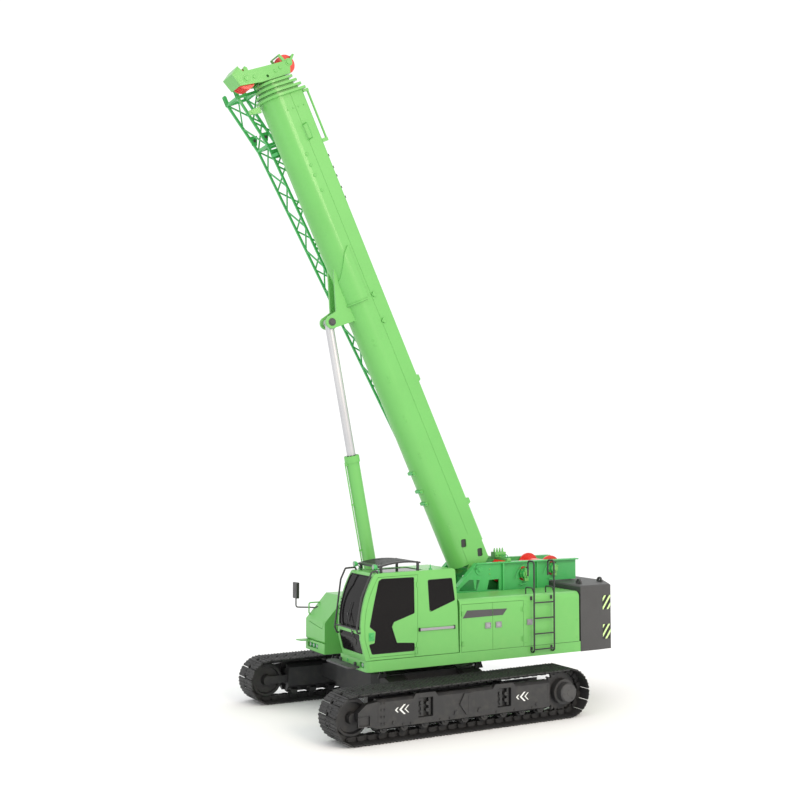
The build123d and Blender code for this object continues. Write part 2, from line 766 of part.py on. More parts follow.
guard_rear = 560.0
guard_front = 1430.0
guard_inner = cab_inner + 40
guard_outer = cab_outer - 50
post_foot = 2800.0
with BuildPart() as roof_guard:
    with BuildSketch(lengthwise(guard_inner)):
        with BuildLine():
            Polyline((guard_rear, 2980), (guard_rear, 3010))
            ThreePointArc((guard_rear, 3010), ((guard_rear + guard_front) / 2, 3032), (guard_front, 2965))
            Polyline((guard_front, 2965), (guard_front, 2930))
            ThreePointArc((guard_front, 2930), ((guard_rear + guard_front) / 2, 3000), (guard_rear, 2980))
        make_face()
    extrude(amount=-(guard_outer - guard_inner))
    # slots between its bars
    with BuildSketch(Plane.XY.offset(2900)):
        with GridLocations(0, (guard_outer - guard_inner - 60) / 9, 1, 9) as slots:
            pass
        with Locations(*[((guard_rear + guard_front) / 2, cab_middle + place.position.Y - 5) for place in slots]):
            Rectangle(guard_front - guard_rear - 120, 52)
    extrude(amount=200, mode=Mode.SUBTRACT)
    for post_x, post_top in ((guard_rear + 50, 2995), (guard_front - 50, 2960)):
        with BuildSketch(Plane.XY.offset(post_foot)):
            with Locations((post_x, guard_inner + 20), (post_x, guard_outer - 20)):
                Rectangle(40, 40)
        extrude(amount=post_top - post_foot)
    add(cab_shell.part, mode=Mode.SUBTRACT)
save(roof_guard.part, "roof_guard")

rail_tube = 17.0
# outer and inner loops in front of the windscreen: side place, then points from the roof down
boom_side_loop = ((1470, 2815), (1470, 2880), (1690, 2872), (1786, 2675), (1907, 1800), (1860, 1697), (1800, 1697))
outer_side_loop = ((1470, 2815), (1470, 2880), (1590, 2866), (1800, 2420), (1885, 1900), (1885, 1790), (1795, 1790))
cross_tube = (1893.0, 1850.0)
rail_inset = 30.0
with BuildPart() as cab_rail:
    for rail_y, points in ((cab_inner + rail_inset, boom_side_loop), (cab_outer - rail_inset, outer_side_loop)):
        with BuildLine() as rail_path:
            FilletPolyline(*[(x, rail_y, z) for x, z in points], radius=38)
        with BuildSketch(Plane(origin=rail_path.line @ 0, z_dir=rail_path.line % 0)):
            Circle(rail_tube)
        sweep(path=rail_path.line)
    with BuildSketch(lengthwise(cab_inner + rail_inset + 5)):
        with Locations(cross_tube):
            Circle(rail_tube - 4)
    extrude(amount=-(cab_width - 2 * rail_inset - 10))
    add(cab_shell.part, mode=Mode.SUBTRACT)
save(cab_rail.part, "cab_rail")

# ---------------------------------------------------------------- ladder, handrail, mirrors
ladder_y = half_width + 100
ladder_front = -1900.0
ladder_rear = -2380.0
ladder_foot = deck_bottom + 85
ladder_top = 2920.0
rung_pitch = 300.0
stile_tube = 17.0
with BuildPart() as ladder:
    for stile_x in (ladder_front, ladder_rear):
        # stile with its hooked top, then the hook that holds it on the housing
        stile = ((half_width, ladder_foot), (ladder_y, ladder_foot), (ladder_y, ladder_top),
                 (ladder_y - 200, ladder_top), (ladder_y - 200, ladder_top - 300))
        hook = ((half_width - 180, hood_top), (half_width - 180, hood_top + 130), (half_width + 40, hood_top + 130),
                (ladder_y, hood_top + 20))
        for points, bend, tube in ((stile, 60.0, stile_tube), (hook, 45.0, stile_tube - 4)):
            with BuildLine() as tube_path:
                FilletPolyline(*[(stile_x, y, z) for y, z in points], radius=bend)
            with BuildSketch(Plane(origin=tube_path.line @ 0, z_dir=tube_path.line % 0)):
                Circle(tube)
            sweep(path=tube_path.line)
    with BuildSketch(crosswise(ladder_rear)):
        for i in range(4):
            with Locations((ladder_y, ladder_foot + 55 + i * rung_pitch)):
                Circle(stile_tube - 3)
    extrude(amount=ladder_front - ladder_rear)
save(ladder.part, "ladder")

handrail_y = -half_width + 50
with BuildPart() as handrail:
    with BuildLine() as handrail_path:
        FilletPolyline((1440, handrail_y, 1720), (1509, handrail_y, 1800), (1509, handrail_y, 1999),
                       (1160, handrail_y, 1999), radius=40)
    with BuildSketch(Plane(origin=handrail_path.line @ 0, z_dir=handrail_path.line % 0)):
        Circle(14)
    sweep()
    add(housing_front.part, mode=Mode.SUBTRACT)
save(handrail.part, "handrail")

mirror_x = 1740.0
mirror_y = -half_width - 80
with BuildPart() as mirror_right:
    with BuildLine() as arm_path:
        FilletPolyline((1340, -half_width + 90, 1890), (1460, mirror_y, 1890), (mirror_x, mirror_y, 1910),
                       (mirror_x, mirror_y, 2150), radius=50)
    with BuildSketch(Plane(origin=arm_path.line @ 0, z_dir=arm_path.line % 0)):
        Circle(14)
    sweep()
    with Locations((mirror_x, mirror_y, 2250)):
        Box(60, 190, 320)
    fillet(mirror_right.edges().filter_by(Axis.X), radius=12)
    add(housing_front.part, mode=Mode.SUBTRACT)
    add(handrail.part, mode=Mode.SUBTRACT)
save(mirror_right.part, "mirror_right")

# ---------------------------------------------------------------- boom
def section_outline(inset):
    """Outline across the boom, inset from the base section: flat upper part over a round trough."""
    radius = boom_width / 2 - inset
    with BuildSketch(Plane.XY) as outline:
        with Locations((0, (bend_centre + boom_top - inset) / 2)):
            Rectangle(2 * radius, boom_top - inset - bend_centre)
        fillet(vertices().group_by(Axis.Y)[-1], radius=corner_radius)
        with Locations((0, bend_centre)):
            Circle(radius)
    return outline.sketch


section_rear = 450.0
rear_stagger = 30.0
section_count = 5
head_lap = 20.0
section_ends = [base_end + i * collar_pitch for i in range(section_count)]
section_ends[-1] += head_lap
slot_half = eye_width / 2 + 12

# saddle under the base section, above the luffing cylinder's eye, with a rim at its lower end
saddle_rear = eye_along + 145
saddle_length = 1150.0
saddle_plate = 34.0
saddle_rim = 58.0
with BuildPart() as saddle:
    for rim, length in ((saddle_plate, saddle_length), (saddle_rim, 22.0)):
        with BuildSketch(boom_cut(saddle_rear)):
            add(section_outline(-rim))
            add(section_outline(0), mode=Mode.SUBTRACT)
        extrude(amount=length)
    with BuildSketch(boom_side(0)):
        Polygon((saddle_rear, -500), (saddle_rear, 55), (saddle_rear + 1100, 70), (saddle_rear + 980, -60),
                (saddle_rear + 560, -290), (saddle_rear + 430, -400), align=None)
    extrude(amount=boom_width, both=True, mode=Mode.INTERSECT)
    with BuildSketch(boom_cut(saddle_rear)):
        with Locations((0, -boom_width)):
            Rectangle(2 * slot_half, boom_width + 2 * saddle_rim)
    extrude(amount=saddle_length, mode=Mode.SUBTRACT)

for i in range(section_count):
    inset = i * section_step
    rear = section_rear + i * rear_stagger
    end = section_ends[i]
    innermost = i == section_count - 1
    with BuildPart() as section:
        with BuildSketch(boom_cut(rear)):
            add(section_outline(inset))
        extrude(amount=end - rear)
        if i == 0:
            # seam where the upper and the lower shell meet
            with BuildSketch(boom_cut(rear)):
                with Locations((-boom_width / 2, seam_height), (boom_width / 2, seam_height)):
                    Rectangle(2 * seam_depth, 14)
            extrude(amount=end - rear, mode=Mode.SUBTRACT)
        if not innermost:
            with BuildSketch(boom_cut(end - collar_thickness)):
                add(section_outline(inset - collar_rim))
            extrude(amount=collar_thickness)
            with BuildSketch(boom_cut(rear)):
                add(section_outline(inset + section_wall))
            extrude(amount=end - rear, mode=Mode.SUBTRACT)
        if i == 0:
            add(saddle.part)
            # foot: side plates down to the pin, with cut-outs
            for plate_y in (-boom_width / 2 + foot_plate / 2, boom_width / 2 - foot_plate / 2):
                with BuildSketch(boom_side(plate_y)):
                    with Locations((0, 0)):
                        Circle(150)
                    Polygon((foot_end, boom_top - corner_radius), (60, boom_top - corner_radius), (-140, 60),
                            (-120, -90), (480, bend_centre - 60), (foot_end, bend_centre - 60), align=None)
                    Circle(foot_pin_radius + fit, mode=Mode.SUBTRACT)
                    with Locations(Location((580, -10), 20), Location((240, 260), 20)):
                        RectangleRounded(165, 120, 30, mode=Mode.SUBTRACT)
                extrude(amount=foot_plate / 2, both=True)
            with BuildSketch(boom_side(0)):
                with Locations(Location((580, -10), 20)):
                    RectangleRounded(165, 120, 30)
            extrude(amount=boom_width, both=True, mode=Mode.SUBTRACT)
            # cheeks that take the eye of the luffing cylinder's rod
            for cheek_y in (-1, 1):
                with BuildSketch(boom_side(cheek_y * (eye_width / 2 + clear + cheek_thickness / 2))):
                    Polygon((eye_along + 1200, -200), (eye_along + 160, -eye_below + 170),
                            (eye_along + 125, -eye_below), (eye_along - 125, -eye_below), (eye_along - 170, -200),
                            align=None)
                    with Locations((eye_along, -eye_below)):
                        Circle(125)
                    with BuildSketch(mode=Mode.PRIVATE) as below_trough:
                        Polygon((eye_along - 400, -298), (eye_along + 1300, -298), (eye_along + 1300, -1000),
                                (eye_along - 400, -1000), align=None)
                    add(below_trough, mode=Mode.INTERSECT)
                extrude(amount=cheek_thickness / 2, both=True)
    save(section.part, "boom_base" if i == 0 else f"boom_section_{i + 1}")

# ---------------------------------------------------------------- boom head and sheaves
head_u = section_ends[-1] - 60
head_cheek_y = 200.0
head_cheek = 26.0
sheave_pitch = 88.0
sheave_side = 30.0
rope_groove = 30.0
# along the boom, above its pin line, radius
lower_sheave = (head_u + 120, -520.0, 185.0)
upper_sheave = (head_u + 180, 440.0, 185.0)
head_boss = 75.0
axle_radius = 36.0
end_plate = 12.0
closing_u = section_ends[-2] + 30
with BuildPart() as boom_head:
    for cheek_y in (-head_cheek_y, head_cheek_y):
        with BuildSketch(boom_side(cheek_y)):
            Polygon((closing_u, -215), (head_u + 30, -704), (head_u + 270, -788), (head_u + 380, -612),
                    (head_u + 260, -530), (head_u + 230, 160), (head_u + 220, 424), (head_u + 100, 436),
                    (closing_u, 384), align=None)
            with Locations((head_u + 50, -90)):
                Circle(28, mode=Mode.SUBTRACT)
        extrude(amount=head_cheek / 2, both=True)
        with BuildSketch(boom_side(cheek_y)):
            with Locations(lower_sheave[:2], upper_sheave[:2]):
                Circle(head_boss)
        extrude(amount=head_cheek_y - 2 * sheave_pitch - clear, both=True)
    with BuildSketch(boom_side(0)):
        with Locations(lower_sheave[:2], upper_sheave[:2]):
            Circle(axle_radius)
    extrude(amount=head_cheek_y, both=True)
    # bent plate across the lower end
    with BuildSketch(boom_side(0)):
        Polygon((head_u + 30, -704), (head_u + 270, -788), (head_u + 380, -612), (head_u + 370, -606),
                (head_u + 264, -774), (head_u + 34, -692), align=None)
    extrude(amount=head_cheek_y + 34, both=True)
    # plate that closes the head at the telescope, round the last section
    with BuildSketch(boom_cut(closing_u)):
        with Locations((0, 75)):
            Rectangle(2 * head_cheek_y, 650)
        add(section_outline((section_count - 1) * section_step), mode=Mode.SUBTRACT)
    extrude(amount=14)
    # cover at the front
    with BuildSketch(boom_cut(head_u + 212)):
        Rectangle(2 * head_cheek_y, 360)
    extrude(amount=end_plate)
save(boom_head.part, "boom_head")

sheave_table = (("sheaves_lower", lower_sheave, 4), ("sheaves_upper", upper_sheave, 2))
for name, (u, v, radius), count in sheave_table:
    with BuildPart() as sheaves:
        with BuildSketch(Plane.XY):
            for i in range(count):
                y = (i - (count - 1) / 2) * sheave_pitch
                with BuildLine():
                    Polyline(
                        (axle_radius + fit, y - sheave_side),
                        (radius, y - sheave_side),
                        (radius, y - sheave_side + 8),
                        (radius - rope_groove, y - 8),
                        (radius - rope_groove, y + 8),
                        (radius, y + sheave_side - 8),
                        (radius, y + sheave_side),
                        (axle_radius + fit, y + sheave_side),
                        close=True,
                    )
                make_face()
            with Locations((axle_radius + fit + 15, 0)):
                Rectangle(30, count * sheave_pitch)
        revolve(axis=Axis.Y, revolution_arc=360)
    centre = boom_point(u, 0, v)
    save(Pos(centre.X, centre.Y, centre.Z) * sheaves.part, name)

# ---------------------------------------------------------------- luffing cylinder
eye = boom_point(eye_along, 0, -eye_below)
foot = Vector(foot_x, 0, foot_z)
cylinder_length = (eye - foot).length
cylinder_dir = (eye - foot).normalized()


def cylinder_cut(s):
    """Plane across the luffing cylinder, s along it from its foot pin."""
    return Plane(origin=foot + cylinder_dir * s, x_dir=(0, 1, 0), z_dir=cylinder_dir)


with BuildPart() as cylinder_barrel:
    with BuildSketch(cylinder_cut(60)):
        Circle(barrel_radius)
    extrude(amount=barrel_length - 60)
    with BuildSketch(cylinder_cut(barrel_length - 130)):
        Circle(barrel_radius + 20)
    extrude(amount=130)
    with BuildSketch(lengthwise(0)):
        with Locations((foot_x, foot_z)):
            Circle(100)
    extrude(amount=pin_lug_y - lug_plate / 2 - clear, both=True)
    with BuildSketch(cylinder_cut(180)):
        Circle(rod_radius + 8)
    extrude(amount=barrel_length - 180 - 40, mode=Mode.SUBTRACT)
    with BuildSketch(cylinder_cut(barrel_length - 40)):
        Circle(rod_radius + 2)
    extrude(amount=40, mode=Mode.SUBTRACT)
    with BuildSketch(lengthwise(0)):
        with Locations((foot_x, foot_z)):
            Circle(foot_eye_pin + fit)
    extrude(amount=200, both=True, mode=Mode.SUBTRACT)
save(cylinder_barrel.part, "cylinder_barrel")

with BuildPart() as cylinder_rod:
    with BuildSketch(cylinder_cut(cylinder_length - rod_length)):
        Circle(rod_radius)
    extrude(amount=rod_length - 40)
    with BuildSketch(lengthwise(0)):
        with Locations((eye.X, eye.Z)):
            Circle(eye_radius)
    extrude(amount=eye_width / 2, both=True)
save(cylinder_rod.part, "cylinder_rod")

# ---------------------------------------------------------------- stowed lattice jib
# station along the boom, lower and upper chords' height, near and far chords' side distance
jib_table = (
    (10330.0, -525.0, -90.0, -440.0, -1000.0),
    (9300.0, -312.0, 120.0, -440.0, -950.0),
    (2450.0, 28.0, 300.0, -440.0, -670.0),
)
end_frame_size = 52.0
brace_size = 26.0
# bays and chord size of the root piece and the main piece
piece_table = ((2, 46.0), (16, 42.0))
bracket_stations = (9050.0, 5550.0, 3000.0)
bracket_width = 60.0


def bar(start, end, size):
    """Square bar between two points."""
    axis = end - start
    return extrude(Plane(origin=start, z_dir=axis) * Rectangle(size, size), amount=axis.length)


def station_at(first, last, share):
    """Station between two others, a share of the way."""
    return tuple(a + (b - a) * share for a, b in zip(first, last))


def jib_corner(station, low, near):
    u, v_low, v_high, y_near, y_far = station
    return boom_point(u, y_near if near else y_far, v_low if low else v_high)


corner_order = ((True, True), (True, False), (False, False), (False, True))
jib_bars = []
for first, last, (bays, chord_size) in zip(jib_table, jib_table[1:], piece_table):
    stations = [station_at(first, last, k / bays) for k in range(bays + 1)]
    for low, near in corner_order:
        jib_bars.append(bar(jib_corner(first, low, near), jib_corner(last, low, near), chord_size))
    for k in range(bays):
        for f in range(4):
            a, b = corner_order[f], corner_order[(f + 1) % 4]
            if k % 2:
                a, b = b, a
            jib_bars.append(bar(jib_corner(stations[k], *a), jib_corner(stations[k + 1], *b), brace_size))
    for station in (first, last):
        for f in range(4):
            a, b = corner_order[f], corner_order[(f + 1) % 4]
            jib_bars.append(bar(jib_corner(station, *a), jib_corner(station, *b), end_frame_size))

# brackets hold the near lower chord on the side of the base section
elbow, tip = jib_table[1:]
with BuildPart() as jib:
    add(jib_bars)
    for u in bracket_stations:
        _, v, _, y, _ = station_at(elbow, tip, (elbow[0] - u) / (elbow[0] - tip[0]))
        with BuildSketch(boom_cut(u)):
            Polygon((-260, v + 20), (-260, v + 130), (y + 15, v + 45), (y - 25, v + 20), (y - 25, v - 25),
                    (y + 15, v - 45), align=None)
            add(section_outline(0), mode=Mode.SUBTRACT)
        extrude(amount=bracket_width)
    # fork lugs at the root
    for low in (True, False):
        for near in (True, False):
            corner = jib_corner(jib_table[0], low, near)
            for lug_y in (-26, 26):
                with BuildSketch(Plane(origin=corner + Vector(0, lug_y, 0), x_dir=boom_dir, z_dir=(0, -1, 0))):
                    with Locations((70, 0)):
                        Rectangle(180, 66)
                    with Locations((160, 0)):
                        Circle(33)
                extrude(amount=8, both=True)
save(jib.part, "jib")
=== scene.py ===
import json
from math import asin, atan2, ceil, cos, pi, radians, sin, sqrt, tau

import bmesh
import bpy
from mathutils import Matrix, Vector


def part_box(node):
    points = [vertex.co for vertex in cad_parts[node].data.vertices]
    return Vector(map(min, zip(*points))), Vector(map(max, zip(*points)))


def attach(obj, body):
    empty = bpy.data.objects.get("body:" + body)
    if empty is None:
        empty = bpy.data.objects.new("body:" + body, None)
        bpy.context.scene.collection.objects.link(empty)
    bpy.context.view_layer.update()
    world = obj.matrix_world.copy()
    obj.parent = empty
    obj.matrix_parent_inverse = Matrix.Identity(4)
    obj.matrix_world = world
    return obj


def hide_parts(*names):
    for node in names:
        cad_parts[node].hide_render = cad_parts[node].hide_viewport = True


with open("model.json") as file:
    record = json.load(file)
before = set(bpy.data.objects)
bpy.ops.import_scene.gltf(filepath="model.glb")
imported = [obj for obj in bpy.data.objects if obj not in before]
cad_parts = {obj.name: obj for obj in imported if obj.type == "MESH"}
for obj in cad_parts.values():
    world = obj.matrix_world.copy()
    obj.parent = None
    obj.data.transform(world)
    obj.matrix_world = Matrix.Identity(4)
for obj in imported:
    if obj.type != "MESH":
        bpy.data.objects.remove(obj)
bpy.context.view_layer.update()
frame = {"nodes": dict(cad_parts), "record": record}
record = frame["record"]
nodes = frame["nodes"]
joints = {joint["name"]: joint for joint in record["behaviour"]["joints"]}

# ---------------------------------------------------------------- camera
camera = bpy.data.objects.new("camera", bpy.data.cameras.new("camera"))
bpy.context.collection.objects.link(camera)
camera.data.lens = 50.42
camera.data.sensor_width = 36.0
camera.data.clip_end = 200.0
camera.location = (11.022, 19.555, 4.85)
camera.rotation_euler = Vector((-0.4836, -0.8735, 0.0555)).to_track_quat("-Z", "Y").to_euler()
bpy.context.scene.camera = camera
bpy.context.scene.view_settings.view_transform = "Standard"

# ---------------------------------------------------------------- places taken from the frame
X, Y, Z = Vector((1, 0, 0)), Vector((0, 1, 0)), Vector((0, 0, 1))
sides = (("left", 1), ("right", -1))
_, hood_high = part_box("housing_left")
cab_low, cab_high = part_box("cab_shell")
belt_low, belt_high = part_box("track_left")
half_width = hood_high.y
track_middle = (belt_low.y + belt_high.y) / 2
boom_pivot = Vector(joints["luff"]["pos_m"])
boom_dir = Vector(joints["telescope"]["axis"]).normalized()
boom_up = Vector((-boom_dir.z, 0, boom_dir.x))
boom_half = 0.32
boom_top = 0.445
bend_centre = -0.02
cylinder_foot = Vector(joints["cylinder_tilt"]["pos_m"])
cylinder_dir = Vector(joints["rod_slide"]["axis"]).normalized()
cylinder_up = Vector((-cylinder_dir.z, 0, cylinder_dir.x))


def middle_of(node):
    low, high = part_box(node)
    return (low + high) / 2


def on_boom(along, across, above):
    """Place on the boom: along it from the foot pin, to the left, above the pin's line."""
    return boom_pivot + boom_dir * along + boom_up * above + Y * across


def on_cylinder(along, across, above):
    """Place on the luffing cylinder, along it from its foot pin."""
    return cylinder_foot + cylinder_dir * along + cylinder_up * above + Y * across


# ---------------------------------------------------------------- node trees
class Graph:
    """A node tree under construction."""

    def node(self, kind, settings=None, sockets=None):
        """Adds a node: its settings first, then the values or links of its sockets."""
        node = self.tree.nodes.new(kind)
        for name, value in (settings or {}).items():
            setattr(node, name, value)
        for key, value in (sockets or {}).items():
            if isinstance(value, Signal):
                value = value.socket
            if isinstance(value, bpy.types.NodeSocket):
                self.tree.links.new(value, node.inputs[key])
            else:
                node.inputs[key].default_value = value
        return node


class Signal:
    """A socket that carries a number; its operators add Math nodes to the tree."""

    def __init__(self, graph, socket):
        self.graph = graph
        self.socket = socket

    def maths(self, operation, *values):
        kind = "ShaderNodeMath"
        node = self.graph.node(kind, {"operation": operation}, dict(enumerate((self, *values))))
        return Signal(self.graph, node.outputs[0])

    def __add__(self, other):
        return self.maths("ADD", other)

    def __sub__(self, other):
        return self.maths("SUBTRACT", other)

    def __mul__(self, other):
        return self.maths("MULTIPLY", other)

    def __truediv__(self, other):
        return self.maths("DIVIDE", other)

    def __gt__(self, other):
        return self.maths("GREATER_THAN", other)

    __radd__ = __add__
    __rmul__ = __mul__

    def __rsub__(self, other):
        return self * -1 + other

    def within(self, low, high):
        """0 below low, 1 above high, a straight ramp between."""
        node = self.graph.node("ShaderNodeMapRange", {"clamp": True}, {0: self, 1: low, 2: high})
        return Signal(self.graph, node.outputs[0])


class Finish(Graph):
    """A material under construction."""

    def __init__(self, name, **constants):
        self.material = bpy.data.materials.new(name)
        self.material.use_nodes = True
        self.tree = self.material.node_tree
        self.shader = self.tree.nodes["Principled BSDF"]
        self.place = self.node("ShaderNodeTexCoord").outputs["Object"]
        for socket, value in constants.items():
            self.shader.inputs[socket.replace("_", " ")].default_value = value

    def noise(self, scale, detail=3.0, stretch=(1, 1, 1)):
        mapping = self.node("ShaderNodeMapping", None, {"Vector": self.place, "Scale": stretch})
        node = self.node("ShaderNodeTexNoise", None,
                         {"Vector": mapping.outputs[0], "Scale": scale, "Detail": detail})
        return Signal(self, node.outputs["Fac"])

    def axis(self, name):
        node = self.node("ShaderNodeSeparateXYZ", None, {0: self.place})
        return Signal(self, node.outputs[name])

    def blend(self, amount, first, second, kind="MIX"):
        node = self.node("ShaderNodeMix", {"data_type": "RGBA", "blend_type": kind},
                         {"Factor": amount, 6: first, 7: second})
        return node.outputs[2]

    def feed(self, socket, value):
        self.tree.links.new(value.socket if isinstance(value, Signal) else value, self.shader.inputs[socket])

    def bump(self, height, distance, strength=1.0):
        node = self.node("ShaderNodeBump", None,
                         {"Height": height, "Distance": distance, "Strength": strength})
        self.feed("Normal", node.outputs["Normal"])


class Layout(Graph):
    """A Geometry Nodes tree with named inputs, which lays out what repeats."""

    kinds = {"float": "NodeSocketFloat", "int": "NodeSocketInt", "object": "NodeSocketObject",
             "material": "NodeSocketMaterial"}

    def __init__(self, name, **inputs):
        self.tree = bpy.data.node_groups.new(name, "GeometryNodeTree")
        self.tree.is_modifier = True
        self.tree.interface.new_socket("Geometry", in_out="INPUT", socket_type="NodeSocketGeometry")
        for label, kind in (*inputs.items(), ("Finish", "material")):
            self.tree.interface.new_socket(label, in_out="INPUT", socket_type=self.kinds[kind])
        self.tree.interface.new_socket("Geometry", in_out="OUTPUT", socket_type="NodeSocketGeometry")
        self.given = self.node("NodeGroupInput").outputs

    def close(self, instances):
        real = self.node("GeometryNodeRealizeInstances", None, {0: instances})
        painted = self.node("GeometryNodeSetMaterial", None,
                            {"Geometry": real.outputs[0], "Material": self.given["Finish"]})
        self.node("NodeGroupOutput", None, {0: painted.outputs[0]})

    def bake(self, name, carrier_mesh, **values):
        """Runs the tree on a carrier and gives back the result as an object with a plain mesh."""
        piece = bpy.data.objects.new(name, carrier_mesh)
        bpy.context.collection.objects.link(piece)
        modifier = piece.modifiers.new("layout", "NODES")
        modifier.node_group = self.tree
        for item in self.tree.interface.items_tree:
            if item.in_out == "INPUT" and item.name in values:
                modifier[item.identifier] = values[item.name]
        solid = bpy.data.meshes.new_from_object(piece.evaluated_get(bpy.context.evaluated_depsgraph_get()))
        piece.modifiers.remove(modifier)
        piece.data = solid
        solid.name = name
        return piece


# ---------------------------------------------------------------- finishes
def colour(red, green, blue):
    """Linear colour of an 8-bit screen colour."""
    def linear(level):
        level /= 255
        return level / 12.92 if level <= 0.04045 else ((level + 0.055) / 1.055) ** 2.4
    return (linear(red), linear(green), linear(blue), 1.0)


def scaled(shade, share):
    return tuple(level * share for level in shade[:3]) + (1.0,)


def sprayed_paint(name, shade, rough, coat, dust_shade, dust):
    """Sprayed paint: slow drift of tone, fine orange peel, a breath of dust low down."""
    paint = Finish(name, Coat_Roughness=0.12)
    drift = paint.noise(0.9, 2.0).within(0.35, 0.7)
    cloud = paint.noise(7.0, 4.0)
    tone = paint.blend(drift * 0.8, shade, scaled(shade, 0.93))
    low_down = 1 - paint.axis("Z").within(0.2, 2.4)
    film = cloud.within(0.45, 0.75) * (low_down * 0.7 + 0.15) * dust
    paint.feed("Base Color", paint.blend(film, tone, dust_shade))
    paint.feed("Roughness", cloud.within(0.2, 0.8) * 0.12 + film * 0.4 + (rough - 0.06))
    paint.feed("Coat Weight", coat - film * coat)
    paint.bump(paint.noise(420.0, 1.0), 0.0004, 0.25)
    return paint.material


def cast_ballast():
    """Painted ballast block: a grainy casting under dark grey paint."""
    cast = Finish("cast_ballast")
    grain = cast.noise(60.0, 5.0)
    patches = cast.noise(2.2, 3.0).within(0.3, 0.75)
    cast.feed("Base Color", cast.blend(patches * 0.6, colour(72, 72, 73), colour(62, 62, 63)))
    cast.feed("Roughness", grain * 0.2 + 0.48)
    cast.bump(grain + cast.noise(9.0, 2.0) * 0.6, 0.004, 0.35)
    return cast.material


def track_steel():
    """Dark shoes: painted steel, rubbed brighter where they meet the ground."""
    steel = Finish("track_steel")
    grain = steel.noise(34.0, 5.0)
    rubbed = grain.within(0.52, 0.72)
    base = steel.blend(steel.noise(3.0, 3.0).within(0.3, 0.7), colour(52, 52, 53), colour(40, 40, 41))
    steel.feed("Base Color", steel.blend(rubbed * 0.35, base, colour(92, 90, 86)))
    steel.feed("Metallic", rubbed * 0.4 + 0.1)
    steel.feed("Roughness", 0.62 - rubbed * 0.2)
    steel.bump(grain, 0.003, 0.4)
    return steel.material


def honed_rod():
    """Hard-chromed rod with fine rings left by grinding."""
    rod = Finish("honed_rod")
    rings = rod.noise(8.0, 2.0, stretch=(1, 1, 60))
    rod.feed("Base Color", rod.blend(rod.noise(1.1, 2.0).within(0.3, 0.7), colour(206, 206, 208),
                                     colour(190, 190, 194)))
    rod.feed("Metallic", rings * 0.1 + 0.55)
    rod.feed("Roughness", rings * 0.08 + 0.3)
    rod.bump(rings, 0.0004, 0.2)
    return rod.material


def brushed_aluminium():
    """Aluminium brushed along the crane."""
    bar = Finish("brushed_aluminium")
    strokes = bar.noise(14.0, 3.0, stretch=(1, 40, 40))
    bar.feed("Base Color", bar.blend(strokes, colour(176, 172, 178), colour(150, 146, 156)))
    bar.feed("Metallic", strokes * 0.1 + 0.5)
    bar.feed("Roughness", strokes * 0.2 + 0.32)
    bar.bump(strokes, 0.0005, 0.3)
    return bar.material


def tinted_pane(name, shade, cover):
    """Dark safety glass with a faint cloud of cleaning marks."""
    pane = Finish(name, IOR=1.2)
    smear = pane.noise(3.0, 4.0)
    pane.feed("Base Color", pane.blend(smear * 0.4, shade, scaled(shade, 1.5)))
    pane.feed("Roughness", smear.within(0.45, 0.8) * 0.06 + 0.05)
    pane.feed("Alpha", smear * 0.04 + cover)
    pane.material.surface_render_method = "DITHERED"
    return pane.material


def moulded(name, shade, rough):
    """Moulded plastic or rubber with a fine leathery grain."""
    moulding = Finish(name)
    grain = moulding.noise(260.0, 2.0)
    moulding.feed("Base Color", moulding.blend(moulding.noise(5.0, 2.0) * 0.4, shade, scaled(shade, 1.6)))
    moulding.feed("Roughness", grain * 0.15 + (rough - 0.07))
    moulding.bump(grain, 0.0006, 0.4)
    return moulding.material


def woven_cloth():
    """Seat cloth: warp and weft as two crossed bands."""
    cloth = Finish("woven_seat_cloth")
    bands = {"wave_type": "BANDS"}
    warp = cloth.node("ShaderNodeTexWave", {**bands, "bands_direction": "X"},
                      {"Vector": cloth.place, "Scale": 120.0})
    weft = cloth.node("ShaderNodeTexWave", {**bands, "bands_direction": "Z"},
                      {"Vector": cloth.place, "Scale": 120.0})
    weave = Signal(cloth, warp.outputs["Fac"]) * Signal(cloth, weft.outputs["Fac"])
    cloth.feed("Base Color", cloth.blend(weave, colour(30, 30, 33), colour(64, 64, 70)))
    cloth.feed("Roughness", weave * 0.1 + 0.8)
    cloth.bump(weave, 0.002, 0.6)
    return cloth.material


def warning_stripes():
    """Slanted light bands on black; they slope the same way on both sides."""
    sheet = Finish("slanted_bands")
    slope = sheet.axis("Z") + sheet.axis("X") * 1.25
    phase = (slope * 5.6 + 40.0).maths("FRACT")
    band = phase > 0.62
    sheet.feed("Base Color", sheet.blend(band, colour(20, 20, 20), colour(206, 238, 160)))
    sheet.feed("Roughness", sheet.noise(40.0, 2.0) * 0.15 + 0.3)
    return sheet.material


def plain_mark(name, shade):
    """Film or moulded lens in one colour, slightly clouded."""
    mark = Finish(name)
    film = mark.noise(30.0, 3.0)
    mark.feed("Base Color", mark.blend(film * 0.3, shade, scaled(shade, 0.85)))
    mark.feed("Roughness", film * 0.2 + 0.3)
    return mark.material


